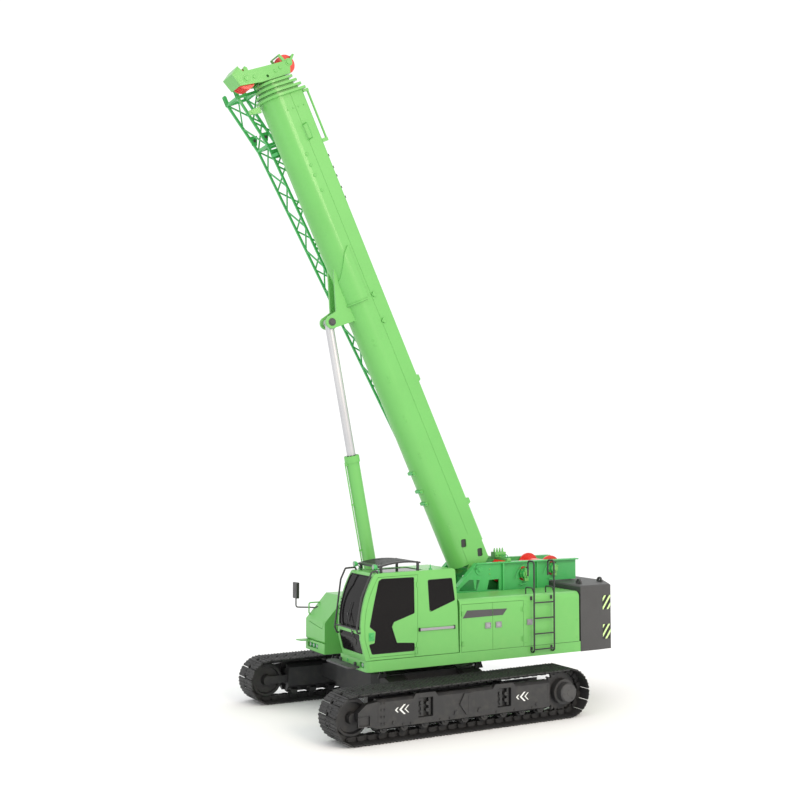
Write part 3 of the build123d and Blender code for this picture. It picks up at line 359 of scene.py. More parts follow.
dust_grey = colour(150, 146, 132)
green_dust = colour(150, 200, 120)
crane_green = sprayed_paint("crane_green", colour(108, 186, 94), 0.42, 0.25, green_dust, 0.2)
# a darker copy of crane_green, the same paint: painted shade for the winch frame, jib, lamps, pipes, rollers
# and other parts that lie in shade
painted_shade_green = sprayed_paint("painted_shade_green", colour(66, 176, 92), 0.42, 0.25, green_dust, 0.2)
hub_grey = sprayed_paint("hub_grey", colour(64, 64, 66), 0.5, 0.1, dust_grey, 0.1)
chassis_black = sprayed_paint("chassis_black", colour(44, 44, 46), 0.5, 0.1, dust_grey, 0.08)
fitting_black = sprayed_paint("fitting_black", colour(40, 40, 42), 0.42, 0.2, dust_grey, 0.05)
drum_red = sprayed_paint("drum_red", colour(224, 44, 30), 0.35, 0.3, dust_grey, 0.08)
ballast_grey = cast_ballast()
shoe_steel = track_steel()
rod_chrome = honed_rod()
latch_metal = brushed_aluminium()
side_glass = tinted_pane("side_glass", colour(24, 23, 24), 0.95)
black_rubber = moulded("black_rubber", colour(26, 26, 27), 0.7)
grey_plastic = moulded("grey_plastic", colour(70, 70, 72), 0.55)
seat_cloth = woven_cloth()
slanted_bands = warning_stripes()
mark_white = plain_mark("mark_white", colour(236, 238, 236))
lens_clear = plain_mark("lens_clear", colour(150, 166, 156))

cad_finish = {
    "green_paint": crane_green,
    "undercarriage_black": chassis_black,
    "track_steel": shoe_steel,
    "grey_paint": ballast_grey,
    "black_paint": fitting_black,
    "dark_glass": side_glass,
    "red_paint": drum_red,
    "chrome_rod": rod_chrome,
    "seat_cloth": seat_cloth,
}
for subpart in record["subparts"]:
    for material_slot in nodes[subpart["node"]].material_slots:
        material_slot.material = cad_finish[subpart["material_slot"]]
# the winch frame and jib take the darker green copy of the paint: painted shade
for name, finish in (("front_step", grey_plastic), ("winch_frame", painted_shade_green), ("jib", painted_shade_green),
                     ("sprocket_left", hub_grey), ("sprocket_right", hub_grey)):
    for material_slot in nodes[name].material_slots:
        material_slot.material = finish

# ---------------------------------------------------------------- making pieces
class Shape:
    """Closed solids gathered for one piece."""

    def __init__(self):
        self.skin = bmesh.new()

    def prism(self, outline, depth):
        """An outline pushed along a vector."""
        near = [self.skin.verts.new(point) for point in outline]
        far = [self.skin.verts.new(Vector(point) + Vector(depth)) for point in outline]
        self.skin.faces.new(near)
        self.skin.faces.new(far)
        for k in range(len(near)):
            self.skin.faces.new((near[k - 1], near[k], far[k], far[k - 1]))
        return self

    def block(self, middle, size, along=X, up=Z):
        """A block with its sizes along its own axes."""
        along, up = along.normalized(), up.normalized()
        across = up.cross(along)
        corner = [along * (sx * size[0] / 2) + across * (sy * size[1] / 2) for sx, sy in
                  ((-1, -1), (1, -1), (1, 1), (-1, 1))]
        return self.prism([Vector(middle) + c - up * (size[2] / 2) for c in corner], up * size[2])

    def turned(self, base, axis, profile, facets=24):
        """A turned solid: heights along the axis with their radii; 0 closes it in a point."""
        axis = axis.normalized()
        across = axis.orthogonal().normalized()
        other = axis.cross(across)
        rings = []
        for height, radius in profile:
            centre = Vector(base) + axis * height
            if radius == 0:
                rings.append([self.skin.verts.new(centre)])
                continue
            rings.append([self.skin.verts.new(centre + (across * cos(tau * k / facets)
                                                        + other * sin(tau * k / facets)) * radius)
                          for k in range(facets)])
        for ring, following in zip(rings, rings[1:]):
            for k in range(facets):
                corners = [ring[(k - 1) % len(ring)], ring[k % len(ring)],
                           following[k % len(following)], following[(k - 1) % len(following)]]
                self.skin.faces.new(list(dict.fromkeys(corners)))
        for ring in (rings[0], rings[-1]):
            if len(ring) > 1:
                self.skin.faces.new(ring)
        return self

    def tube(self, points, radius, facets=10, closed=False):
        """A round bar along points; its cross-section stays square to the path."""
        points = [Vector(point) for point in points]
        count = len(points)
        aim = []
        for k in range(count):
            before = points[k - 1] if closed or k else points[k]
            after = points[(k + 1) % count] if closed or k < count - 1 else points[k]
            aim.append((after - before).normalized())
        across = aim[0].orthogonal().normalized()
        rings = []
        for point, way in zip(points, aim):
            across = (across - way * across.dot(way)).normalized()
            other = way.cross(across)
            rings.append([self.skin.verts.new(point + (across * cos(tau * k / facets)
                                                       + other * sin(tau * k / facets)) * radius)
                          for k in range(facets)])
        for ring, following in zip(rings, rings[1:] + ([rings[0]] if closed else [])):
            for k in range(facets):
                self.skin.faces.new((ring[k - 1], ring[k], following[k], following[k - 1]))
        if not closed:
            self.skin.faces.new(rings[0])
            self.skin.faces.new(rings[-1])
        return self


def rounded(points, bend, steps=5):
    """The same path with its corners rounded."""
    points = [Vector(point) for point in points]
    path = [points[0]]
    for before, corner, after in zip(points, points[1:], points[2:]):
        back, ahead = (before - corner), (after - corner)
        turn = (pi - back.angle(ahead)) / 2
        reach = min(bend * sin(turn) / cos(turn), back.length * 0.49, ahead.length * 0.49)
        start, end = corner + back.normalized() * reach, corner + ahead.normalized() * reach
        for k in range(steps + 1):
            share = k / steps
            path.append(start.lerp(corner, share).lerp(corner.lerp(end, share), share))
    path.append(points[-1])
    return path


def circle(centre, axis, radius, count=24, start=0.0, turn=tau):
    """Points round an axis."""
    across = axis.orthogonal().normalized()
    other = axis.normalized().cross(across)
    angles = [start + turn * k / count for k in range(count)]
    return [Vector(centre) + (across * cos(angle) + other * sin(angle)) * radius for angle in angles]


def finish_mesh(name, shape, finish):
    bmesh.ops.recalc_face_normals(shape.skin, faces=shape.skin.faces)
    mesh = bpy.data.meshes.new(name)
    shape.skin.to_mesh(mesh)
    shape.skin.free()
    mesh.shade_smooth()
    mesh.set_sharp_from_angle(angle=radians(32))
    mesh.materials.append(finish)
    return mesh


def add_piece(name, shape, body, slot, finish, edge=0.0):
    """Turns the gathered solids into a piece that rides on a body; edge rounds its edges."""
    piece = bpy.data.objects.new(name, finish_mesh(name, shape, finish))
    bpy.context.collection.objects.link(piece)
    if edge:
        rounding = piece.modifiers.new("edges", "BEVEL")
        rounding.width = edge
        rounding.segments = 2
        rounding.limit_method = "ANGLE"
        rounding.angle_limit = radians(40)
        rounding.harden_normals = True
    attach(piece, body)
    return piece


# ---------------------------------------------------------------- bolts, laid out by one tree
def bolt_layout():
    layout = Layout("bolt_layout", **{"Across flats": "float", "Head height": "float"})
    head_radius = Signal(layout, layout.given["Across flats"]) * (1 / sqrt(3))
    height = Signal(layout, layout.given["Head height"])
    parts = []
    for corners, radius, depth in ((6, head_radius, height), (12, head_radius * 1.35, height * 0.3)):
        solid = layout.node("GeometryNodeMeshCylinder", None,
                            {"Vertices": corners, "Radius": radius, "Depth": depth})
        lift = layout.node("ShaderNodeCombineXYZ", None, {2: depth * 0.5})
        parts.append(layout.node("GeometryNodeTransform", None,
                                 {"Geometry": solid.outputs["Mesh"], "Translation": lift.outputs[0]}))
    head = layout.node("GeometryNodeJoinGeometry")
    for part in parts:
        layout.tree.links.new(part.outputs[0], head.inputs[0])
    facing = layout.node("GeometryNodeInputNamedAttribute", {"data_type": "FLOAT_VECTOR"}, {"Name": "facing"})
    turn = layout.node("FunctionNodeAlignRotationToVector", {"axis": "Z"}, {"Vector": facing.outputs[0]})
    stamped = layout.node("GeometryNodeInstanceOnPoints", None,
                          {"Points": layout.given["Geometry"], "Instance": head.outputs[0],
                           "Rotation": turn.outputs[0]})
    layout.close(stamped.outputs[0])
    return layout


bolts = bolt_layout()
bolt_places = {}


def bolt(group, *places, facing):
    """Notes bolt heads for a group; lay_bolts then places them together."""
    bolt_places.setdefault(group, []).extend((Vector(place), Vector(facing)) for place in places)


def lay_bolts(group, body, slot, finish, across_flats, head_height):
    places = bolt_places.pop(group)
    points = bpy.data.meshes.new(group)
    points.from_pydata([place for place, _ in places], [], [])
    facing = points.attributes.new("facing", "FLOAT_VECTOR", "POINT")
    facing.data.foreach_set("vector", [value for _, way in places for value in way])
    piece = bolts.bake(group, points, **{"Across flats": across_flats, "Head height": head_height,
                                         "Finish": finish})
    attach(piece, body)


# ---------------------------------------------------------------- tracks
shoe_pitch = 0.203
shoe_height = 0.032
bend_radius = 0.26
wheel_rise_run = 0.48
rail_offset = 0.078
outer_wall = 0.285
roller_height = 0.221
skin_gap = 0.001
rear_wheel = middle_of("sprocket_left")
front_wheel = middle_of("idler_left")
rear_reach = rear_wheel.x - belt_low.x
front_reach = belt_high.x - front_wheel.x
beam_rear, beam_front = rear_wheel.x + 0.44, front_wheel.x - 0.41
on_chassis = ("undercarriage", "undercarriage_black")


def belt_path(middle):
    """Closed line of the shoes' inner faces: over the wheels forwards, back along the ground."""
    wheels = ((rear_wheel.x, rear_wheel.z, rear_reach), (front_wheel.x, front_wheel.z, front_reach),
              (front_wheel.x - wheel_rise_run, bend_radius, bend_radius),
              (rear_wheel.x + wheel_rise_run, bend_radius, bend_radius))
    headings = []
    for k, (x, z, reach) in enumerate(wheels):
        next_x, next_z, next_reach = wheels[(k + 1) % len(wheels)]
        run = sqrt((next_x - x) ** 2 + (next_z - z) ** 2)
        headings.append(atan2(next_z - z, next_x - x) + pi / 2 - asin((reach - next_reach) / run))
    points = []
    for k, (x, z, reach) in enumerate(wheels):
        start, end = headings[k - 1], headings[k]
        while end > start:
            end -= tau
        steps = max(2, ceil((start - end) / radians(4)))
        inner = reach - shoe_height
        for step in range(steps + 1):
            angle = start + (end - start) * step / steps
            points.append(Vector((x + cos(angle) * inner, middle, z + sin(angle) * inner)))
    return points


def shoe_plate(half, half_shoe):
    """Outline of a shoe's plate: cut corners, and a slot in its leading edge."""
    slot, slot_depth, corner = 0.045, 0.05, 0.022
    return [(-half, -half_shoe + corner), (-half + corner, -half_shoe), (half - corner, -half_shoe),
            (half, -half_shoe + corner), (half, -slot), (half - slot_depth, -slot * 0.8),
            (half - slot_depth, slot * 0.8), (half, slot), (half, half_shoe - corner),
            (half - corner, half_shoe), (-half + corner, half_shoe), (-half, half_shoe - corner)]


def track_shoe():
    """One shoe with three grousers, its two links, pin and bolts; Z points away from the belt."""
    plate, bar_rise, bar_foot, bar_tip = 0.018, 0.0137, 0.012, 0.007
    shoe = Shape()
    outline = shoe_plate(shoe_pitch / 2 - 0.003, (belt_high.y - belt_low.y) / 2)
    shoe.prism([(x, y, 0) for x, y in outline], Z * plate)
    for x, spans in ((-0.068, ((-0.335, 0.335),)), (0.0, ((-0.345, 0.345),)),
                     (0.068, ((-0.335, -0.055), (0.055, 0.335)))):
        for start, end in spans:
            profile = [(x - bar_foot, start, plate - 0.002), (x + bar_foot, start, plate - 0.002),
                       (x + bar_tip, start, plate + bar_rise), (x - bar_tip, start, plate + bar_rise)]
            shoe.prism(profile, Y * (end - start))
    for way in (-1, 1):
        for x in (-0.034, 0.034):
            shoe.turned((x, way * rail_offset, plate - 0.001), Z, [(0, 0.015), (0.011, 0.015)], facets=6)
        # a link's two ends stand side by side with those of the next
        for ahead, shift in ((-1, 0.015), (1, -0.015)):
            outline = [(-ahead * 0.012, -0.002), (ahead * 0.085, -0.004), (ahead * 0.125, -0.03),
                       (ahead * 0.125, -0.06), (ahead * 0.1, -0.084), (-ahead * 0.012, -0.088)]
            shoe.prism([(x, way * rail_offset + shift - 0.014, z) for x, z in outline], Y * 0.028)
    for length, radius in ((0.25, 0.018), (0.104, 0.03)):
        shoe.turned((shoe_pitch / 2, -length / 2, -0.045), Y, [(0, radius), (length, radius)], facets=8)
    return finish_mesh("track_shoe", shoe, shoe_steel)


def belt_layout():
    """Places shoes evenly along a closed line, each square to it."""
    layout = Layout("belt_layout", Shoe="object", Shoes="int")
    line = layout.node("GeometryNodeMeshToCurve", None, {"Mesh": layout.given["Geometry"]})
    stations = layout.node("GeometryNodeCurveToPoints", {"mode": "COUNT"},
                           {"Curve": line.outputs[0], "Count": layout.given["Shoes"]})
    turn = layout.node("FunctionNodeAlignRotationToVector", {"axis": "X", "pivot_axis": "Y"},
                       {"Vector": stations.outputs["Tangent"]})
    shoe = layout.node("GeometryNodeObjectInfo", None, {"Object": layout.given["Shoe"]})
    placed = layout.node("GeometryNodeInstanceOnPoints", None,
                         {"Points": stations.outputs["Points"], "Instance": shoe.outputs["Geometry"],
                          "Rotation": turn.outputs[0]})
    layout.close(placed.outputs[0])
    return layout


def make_belts():
    """Both belts, each one shoe laid out along the line round its wheels."""
    shoe = bpy.data.objects.new("track_shoe", track_shoe())
    bpy.context.collection.objects.link(shoe)
    layout = belt_layout()
    for side, out in sides:
        points = belt_path(out * track_middle)
        line = bpy.data.meshes.new("belt_line")
        count = len(points)
        line.from_pydata(points, [(k, (k + 1) % count) for k in range(count)], [])
        length = sum((points[k] - points[k - 1]).length for k in range(count))
        belt = layout.bake(f"belt_{side}", line, Shoe=shoe, Shoes=round(length / shoe_pitch),
                           Finish=shoe_steel)
        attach(belt, "undercarriage")
        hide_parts(f"track_{side}")
    bpy.data.objects.remove(shoe)


def make_roller_brackets(side, out):
    """Brackets that hang the lower rollers from the beam, on both sides of each roller."""
    count, width, bolt_reach = 9, 0.045, 0.108
    middle = out * track_middle
    pitch = (beam_front - beam_rear - 0.3) / (count - 1)
    foot = roller_height + 0.035
    brackets = Shape()
    for k in range(count):
        x = beam_rear + 0.15 + k * pitch
        for y in (middle + out * 0.16, middle - out * 0.2):
            brackets.prism(circle((x, y, roller_height), Y, 0.078, 10), Y * (out * width))
            brackets.block((x, y + out * width / 2, foot), (0.27, width, 0.05))
            brackets.turned((x, y + out * 0.044, roller_height), Y * out, [(0, 0.036), (0.014, 0.03)], 12)
            bolt(f"bolts_roller_{side}", (x - bolt_reach, y + out * width, foot),
                 (x + bolt_reach, y + out * width, foot), facing=Y * out)
    add_piece(f"roller_brackets_{side}", brackets, *on_chassis, chassis_black, 0.004)
    lay_bolts(f"bolts_roller_{side}", *on_chassis, chassis_black, 0.03, 0.02)


def make_pocket_pins(side, out):
    """Locking pins and stops in the beam's two pockets."""
    floor = out * (track_middle + outer_wall - 0.11)
    pocket_middle, pocket_height, pin_shift = 0.53, 0.318, 0.088
    pins = Shape()
    for pocket in (0.898, -0.776):
        x = pocket + pin_shift
        pins.block((x, floor + out * 0.04, pocket_middle), (0.115, 0.08, pocket_height))
        pins.tube([(x, floor + out * 0.095, z) for z in (0.40, 0.64)], 0.013)
        pins.turned((x, floor + out * 0.08, 0.61), Y * out, [(0, 0.032), (0.03, 0.028)], 16)
        for z in (0.46, 0.56):
            pins.block((x, floor + out * 0.09, z), (0.07, 0.03, 0.024))
        pins.block((pocket - 0.11, floor + out * 0.03, pocket_middle), (0.05, 0.06, pocket_height))
    add_piece(f"frame_pins_{side}", pins, *on_chassis, fitting_black, 0.003)


def make_frame_trim(side, out):
    """Tray step, stiffening plates and plugs on the beam's outer face."""
    face = out * (track_middle + outer_wall)
    step_middle, step_size, wall = (2.139, 0.41), (0.25, 0.16), 0.02
    x, z = step_middle
    half = step_size[0] / 2 - wall / 2
    trim = Shape()
    trim.block((x, face + out * 0.025, z - step_size[1] / 2), (step_size[0], 0.05, wall))
    for wall_x in (x - half, x + half):
        trim.block((wall_x, face + out * 0.025, z), (wall, 0.05, step_size[1]))
    trim.block((x, face + out * 0.008, z), (step_size[0], 0.014, step_size[1]))
    trim.block((beam_rear + 0.02, face - out * 0.03, 0.50), (0.03, 0.07, 0.40))
    trim.block((beam_front - 0.01, face - out * 0.03, 0.53), (0.025, 0.07, 0.36))
    # wedge-shaped feet under the middle of the beam
    inside = face - out * 0.002
    for foot in (-0.235, 0.265):
        trim.prism([(foot + reach, inside, height) for reach, height in
                    ((-0.05, 0.33), (0.05, 0.33), (0.03, 0.40), (-0.03, 0.40))], Y * (out * 0.02))
    for plug in (1.55, -1.5):
        trim.turned((plug, face - out * 0.004, 0.33), Y * out, [(0, 0.03), (0.022, 0.026)], 12)
    trim.block((0.0, face + out * 0.025, 0.50), (0.05, 0.012, 0.30))
    add_piece(f"frame_trim_{side}", trim, *on_chassis, chassis_black, 0.003)


def make_chevrons(side, out):
    """Groups of three white chevrons that point forwards."""
    face = out * (track_middle + outer_wall)
    marks = Shape()
    for tip, middle_z in ((1.52, 0.54), (-1.035, 0.505)):
        for shift, height, arm in ((0.0, 0.085, 0.026), (0.085, 0.17, 0.036), (0.19, 0.13, 0.022)):
            half, reach = height / 2, height * 0.55
            x = tip - shift
            outline = [(x, middle_z), (x - reach, middle_z + half), (x - reach - arm, middle_z + half),
                       (x - arm * 1.15, middle_z), (x - reach - arm, middle_z - half),
                       (x - reach, middle_z - half)]
            marks.prism([(u, face, z) for u, z in outline], Y * (out * 0.003))
    add_piece(f"chevrons_{side}", marks, *on_chassis, mark_white)


def make_final_drive_trim(side, out):
    """Plugs on the final drive's cover and the bolts of its ring."""
    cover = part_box(f"sprocket_{side}")[1 if out > 0 else 0].y
    plugs = Shape()
    plugs.turned((rear_wheel.x, cover, rear_wheel.z), Y * out, [(-0.002, 0.05), (0.006, 0.046)], 16)
    for plug in circle((rear_wheel.x, cover, rear_wheel.z), Y, 0.12, 3, start=radians(50)):
        plugs.turned(plug, Y * out, [(-0.002, 0.016), (0.008, 0.014)], 8)
    add_piece(f"drive_plugs_{side}", plugs, *on_chassis, hub_grey, 0.002)
    ring = out * (track_middle + 0.129)
    bolt(f"bolts_drive_{side}", *circle((rear_wheel.x, ring, rear_wheel.z), Y, 0.208, 18), facing=Y * out)
    lay_bolts(f"bolts_drive_{side}", *on_chassis, hub_grey, 0.026, 0.016)


def make_frame_bolts(side, out):
    """Bolts of the idler's slide, of the lower edge and of the beam's inner face."""
    face = out * (track_middle + outer_wall - skin_gap)
    inner = out * (track_middle - 0.25)
    group = f"bolts_frame_{side}"
    bolt(group, *[(x, face, z) for x in (1.72, 1.78) for z in (0.33, 0.45, 0.57, 0.68)],
         *[(x, face, 0.285) for x in (-1.4, -1.0, -0.6, 0.4, 0.6, 1.2, 1.35)], facing=Y * out)
    bolt(group, *[(x, inner, 0.36) for x in (-1.4, -0.2, 0.3, 1.5)], facing=Y * -out)
    lay_bolts(group, *on_chassis, chassis_black, 0.03, 0.018)


def make_carbody_trim():
    """Bolts round the slewing ring, covers under the carbody and the travel motors' pipes."""
    ring_low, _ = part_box("slew_ring_lower")
    bolt("bolts_ring", *circle((0, 0, ring_low.z), Z, 0.671, 36), facing=Z)
    lay_bolts("bolts_ring", *on_chassis, chassis_black, 0.026, 0.018)
    body_low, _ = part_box("carbody")
    cover_x = 0.08
    covers = Shape()
    covers.turned((cover_x, 0, body_low.z + 0.004), -Z, [(0, 0.30), (0.012, 0.29)], 32)
    for x in (-0.62, 0.72):
        covers.block((x, 0, body_low.z - 0.004), (0.3, 0.5, 0.014))
    add_piece("carbody_covers", covers, *on_chassis, chassis_black, 0.003)
    bolt("bolts_carbody", *circle((cover_x, 0, body_low.z - 0.008), Z, 0.262, 12), facing=-Z)
    lay_bolts("bolts_carbody", *on_chassis, chassis_black, 0.024, 0.014)
    # steel pipes to the travel motors, along the rear cross beam
    run_x = -0.5
    pipes = Shape()
    for _, out in sides:
        for lift in (0.0, 0.05):
            pipes.tube(rounded([(-0.53, out * 0.3, 0.90 + lift * 0.2), (run_x, out * 0.95, 0.87 + lift),
                                (run_x, out * 1.3, 0.74 + lift),
                                (run_x, out * (track_middle - 0.24), 0.70 + lift)], 0.08), 0.014)
    add_piece("travel_pipes", pipes, *on_chassis, fitting_black)


make_belts()
for side, out in sides:
    make_roller_brackets(side, out)
    make_pocket_pins(side, out)
    make_frame_trim(side, out)
    make_chevrons(side, out)
    make_final_drive_trim(side, out)
    make_frame_bolts(side, out)
make_carbody_trim()

# ---------------------------------------------------------------- hoods, cab and deck
on_upper_green = ("superstructure", "green_paint")
on_upper_black = ("superstructure", "black_paint")
on_upper_bright = ("superstructure", "chrome_rod")
latch_height = 1.747
hood_ballast_edge = -3.54
sill = 1.281


def paddle_latch(shape, x, z, face, out):
    """A recessed paddle latch on a hood's outer face."""
    width, height, rim = 0.13, 0.11, 0.012
    shape.block((x, face + out * 0.004, z), (width, 0.008, height))
    for lift in (-0.049, 0.049):
        shape.block((x, face + out * 0.009, z + lift), (width, 0.018, rim))
    for shift in (-0.059, 0.059):
        shape.block((x + shift, face + out * 0.009, z), (rim, 0.018, 0.098))
    paddle = [(0.006, -0.034), (0.02, -0.03), (0.011, 0.034), (0.006, 0.034)]
    shape.prism([(x - 0.045, face + out * rise, z + lift) for rise, lift in paddle], X * 0.09)
    shape.turned((x + 0.028, face + out * 0.011, z + 0.018), Y * out, [(0, 0.011), (0.006, 0.009)], 12)


def make_door_trim(side, out, leaf, latch_x, hinge_x, plate_outline):
    """Latch, hinges and blank plate of one hood door; they swing with it."""
    face, door = out * half_width, f"door_{side}_{leaf}"
    latch = Shape()
    paddle_latch(latch, latch_x, latch_height, face, out)
    add_piece(f"latch_{side}_{leaf}", latch, door, "chrome_rod", latch_metal, 0.002)
    inward = -1 if leaf == "front" else 1
    hinge = Shape()
    for z in (1.44, 2.0):
        hinge.block((hinge_x + inward * 0.032, face + out * 0.003, z), (0.055, 0.006, 0.085))
        hinge.turned((hinge_x + inward * 0.013, face + out * 0.014, z - 0.045), Z,
                     [(0, 0.009), (0.09, 0.009)], 12)
        screw = (hinge_x + inward * 0.04, face + out * 0.006)
        bolt(f"bolts_{door}", (*screw, z - 0.022), (*screw, z + 0.022), facing=Y * out)
    add_piece(f"hinges_{side}_{leaf}", hinge, door, "green_paint", crane_green, 0.001)
    lay_bolts(f"bolts_{door}", door, "green_paint", crane_green, 0.012, 0.006)
    if out > 0:
        plate = Shape()
        plate.prism([(x, face, z) for x, z in plate_outline], Y * 0.003)
        add_piece(f"blank_plate_{leaf}", plate, door, "black_paint", grey_plastic)


def make_hood_side_trim(side, out):
    """Latch, seam and bolts of the fixed hood, and the hazard sheets behind it."""
    face = out * half_width
    fixed = Shape()
    paddle_latch(fixed, -1.858, latch_height, face, out)
    add_piece(f"housing_latch_{side}", fixed, *on_upper_bright, latch_metal, 0.002)
    seam = Shape()
    seam.block((-2.40, face, sill), (1.33, 0.004, 0.006))
    add_piece(f"sill_seam_{side}", seam, *on_upper_black, black_rubber)
    group = f"bolts_hood_{side}"
    bolt(group, *[(x, face, z) for x in (-1.76, -3.02) for z in (1.36, 1.72, 2.10)], facing=Y * out)
    bolt(group, *[(x, out * 0.72, hood_high.z) for x in (-0.40, -1.2, -2.0, -2.9)], facing=Z)
    lay_bolts(group, *on_upper_green, crane_green, 0.018, 0.009)
    # the ballast's corner facet draws in 30 mm over its 360 mm
    sheets = Shape()
    front, rear = -3.68, -3.89
    for low, high in ((1.28, 1.57), (1.87, 2.15)):
        corners = []
        for x, z in ((front, low), (rear, low), (rear, high), (front, high)):
            corners.append((x, out * (half_width - (hood_ballast_edge - x) * 0.03 / 0.36 - skin_gap), z))
        sheets.prism(corners, Y * (out * 0.004))
    add_piece(f"hazard_sheets_{side}", sheets, "superstructure", "grey_paint", slanted_bands)


def make_slide_bar():
    """Rail on the cab's side along which its door slides, with a stop at each end."""
    x, z = 0.2425, 1.7725
    bar = Shape()
    bar.block((x, cab_high.y + 0.024, z), (0.727, 0.014, 0.046))
    bar.block((x, cab_high.y + 0.008, z), (0.74, 0.014, 0.02))
    add_piece("cab_slide_bar", bar, *on_upper_bright, latch_metal, 0.003)
    stops = Shape()
    for stop in (0.618, -0.133):
        stops.block((stop, cab_high.y + 0.016, z), (0.026, 0.036, 0.066))
    add_piece("cab_slide_stops", stops, *on_upper_black, black_rubber, 0.003)


# outlines of the cab's side panes, along and up
door_pane = [(0.732, 2.735), (1.400, 2.735), (1.461, 2.700), (1.560, 2.290), (1.643, 1.893),
             (1.521, 1.795), (1.541, 1.590), (1.655, 1.574), (1.595, 1.400), (0.720, 1.400),
             (0.720, 1.536), (1.089, 1.565), (1.192, 1.861), (1.151, 1.948), (0.720, 2.082)]
rear_pane = [(-0.154, 2.268), (-0.089, 2.681), (0.433, 2.670), (0.391, 2.080)]
boom_side_pane = [(-0.02, 1.90), (0.0, 2.72), (1.44, 2.68), (1.66, 1.90)]
cab_middle = 1.027
pane_half = 0.412


def screen_x(z):
    """Outside of the windscreen at a height: an arc through three places of the cab's front."""
    (x1, z1), (x2, z2), (x3, z3) = (1.824, 1.817), (1.752, 2.380), (1.545, 2.835)
    if z <= z1:
        return x1
    twist = 2 * (x1 * (z2 - z3) + x2 * (z3 - z1) + x3 * (z1 - z2))
    s1, s2, s3 = x1 * x1 + z1 * z1, x2 * x2 + z2 * z2, x3 * x3 + z3 * z3
    centre_x = (s1 * (z2 - z3) + s2 * (z3 - z1) + s3 * (z1 - z2)) / twist
    centre_z = (s1 * (x3 - x2) + s2 * (x1 - x3) + s3 * (x2 - x1)) / twist
    radius = sqrt((x1 - centre_x) ** 2 + (z1 - centre_z) ** 2)
    return centre_x + sqrt(radius ** 2 - (z - centre_z) ** 2)


def gasket(shape, corners, radius):
    """A rubber strip round a pane."""
    start = Vector(corners[0]).lerp(Vector(corners[-1]), 0.5)
    loop = rounded([start, *corners, start], 0.03, 4)
    shape.tube(loop[:-1], radius, 6, closed=True)


def make_gaskets():
    """Strips round the side panes and the windscreen."""
    strip, inset = 0.009, 0.006
    strips = Shape()
    for outline in (door_pane, rear_pane):
        gasket(strips, [(x, cab_high.y - inset, z) for x, z in outline], strip)
    gasket(strips, [(x, cab_low.y + inset, z) for x, z in boom_side_pane], strip)
    add_piece("cab_gaskets", strips, *on_upper_black, black_rubber)

    screen = Shape()
    near, far = cab_middle - pane_half, cab_middle + pane_half
    low, high, rows = 1.845, 2.775, 12
    heights = [low + (high - low) * k / rows for k in range(rows + 1)]
    for y in (near, far):
        screen.tube([(screen_x(z) - 0.004, y, z) for z in heights], 0.010, 6)
    for z in (heights[0], heights[-1]):
        screen.tube([(screen_x(z) - 0.004, y, z) for y in (near, far)], 0.010, 6)
    add_piece("screen_gasket", screen, *on_upper_black, black_rubber)


def make_wiper():
    """Wiper on the windscreen: blade, arm, motor cap and washer pipe."""
    joint = 2.08
    wiper = Shape()
    blade = [(screen_x(1.86 + 0.44 * k / 8) + 0.016, 0.95 + 0.09 * k / 8, 1.86 + 0.44 * k / 8)
             for k in range(9)]
    wiper.tube(blade, 0.008, 6)
    wiper.tube([(screen_x(1.80) + 0.018, 1.17, 1.78), (screen_x(1.95) + 0.034, 1.10, 1.93),
                (screen_x(joint) + 0.028, 0.995, joint)], 0.007, 6)
    wiper.turned((1.80, 1.175, 1.765), X, [(0, 0.032), (0.045, 0.028)], 16)
    wiper.block((screen_x(joint) + 0.024, 0.995, joint), (0.018, 0.03, 0.05))
    wiper.tube([(1.815, 1.20, 1.72), (1.845, 1.19, 1.60), (1.815, 1.10, 1.50)], 0.006, 6)
    add_piece("screen_wiper", wiper, *on_upper_black, fitting_black)

    slots = Shape()
    for z in (2.31, 2.25, 2.19, 2.13, 2.03):
        slots.block((screen_x(z) + skin_gap, 0.59, z), (0.008, 0.036, 0.014))
    add_piece("pillar_slots", slots, *on_upper_black, black_rubber)


def make_cab_door_fittings():
    """Lock of the cab's door, and the guides it slides in."""
    face, lock_x = cab_high.y, 1.608
    latch = Shape()
    latch.block((lock_x, face + 0.004, 1.712), (0.112, 0.012, 0.15))
    latch.block((lock_x, face + 0.018, 1.735), (0.072, 0.02, 0.05))
    latch.block((lock_x, face + 0.014, 1.675), (0.05, 0.014, 0.03))
    latch.turned((1.565, face + 0.006, 1.665), Y, [(0, 0.012), (0.012, 0.010)], 12)
    # the lock takes the darker green copy of the paint: painted shade in its recess
    add_piece("cab_door_latch", latch, *on_upper_green, painted_shade_green, 0.004)

    guides = Shape()
    path = [(0.70, face - 0.005, 1.46), (0.70, face + 0.035, 1.46), (0.70, face + 0.035, 1.30)]
    guides.tube(rounded(path, 0.02), 0.007, 8)
    for z in (1.50, 2.60):
        guides.block((0.652, face + 0.008, z), (0.05, 0.016, 0.09))
    add_piece("cab_door_guides", guides, *on_upper_green, crane_green, 0.002)


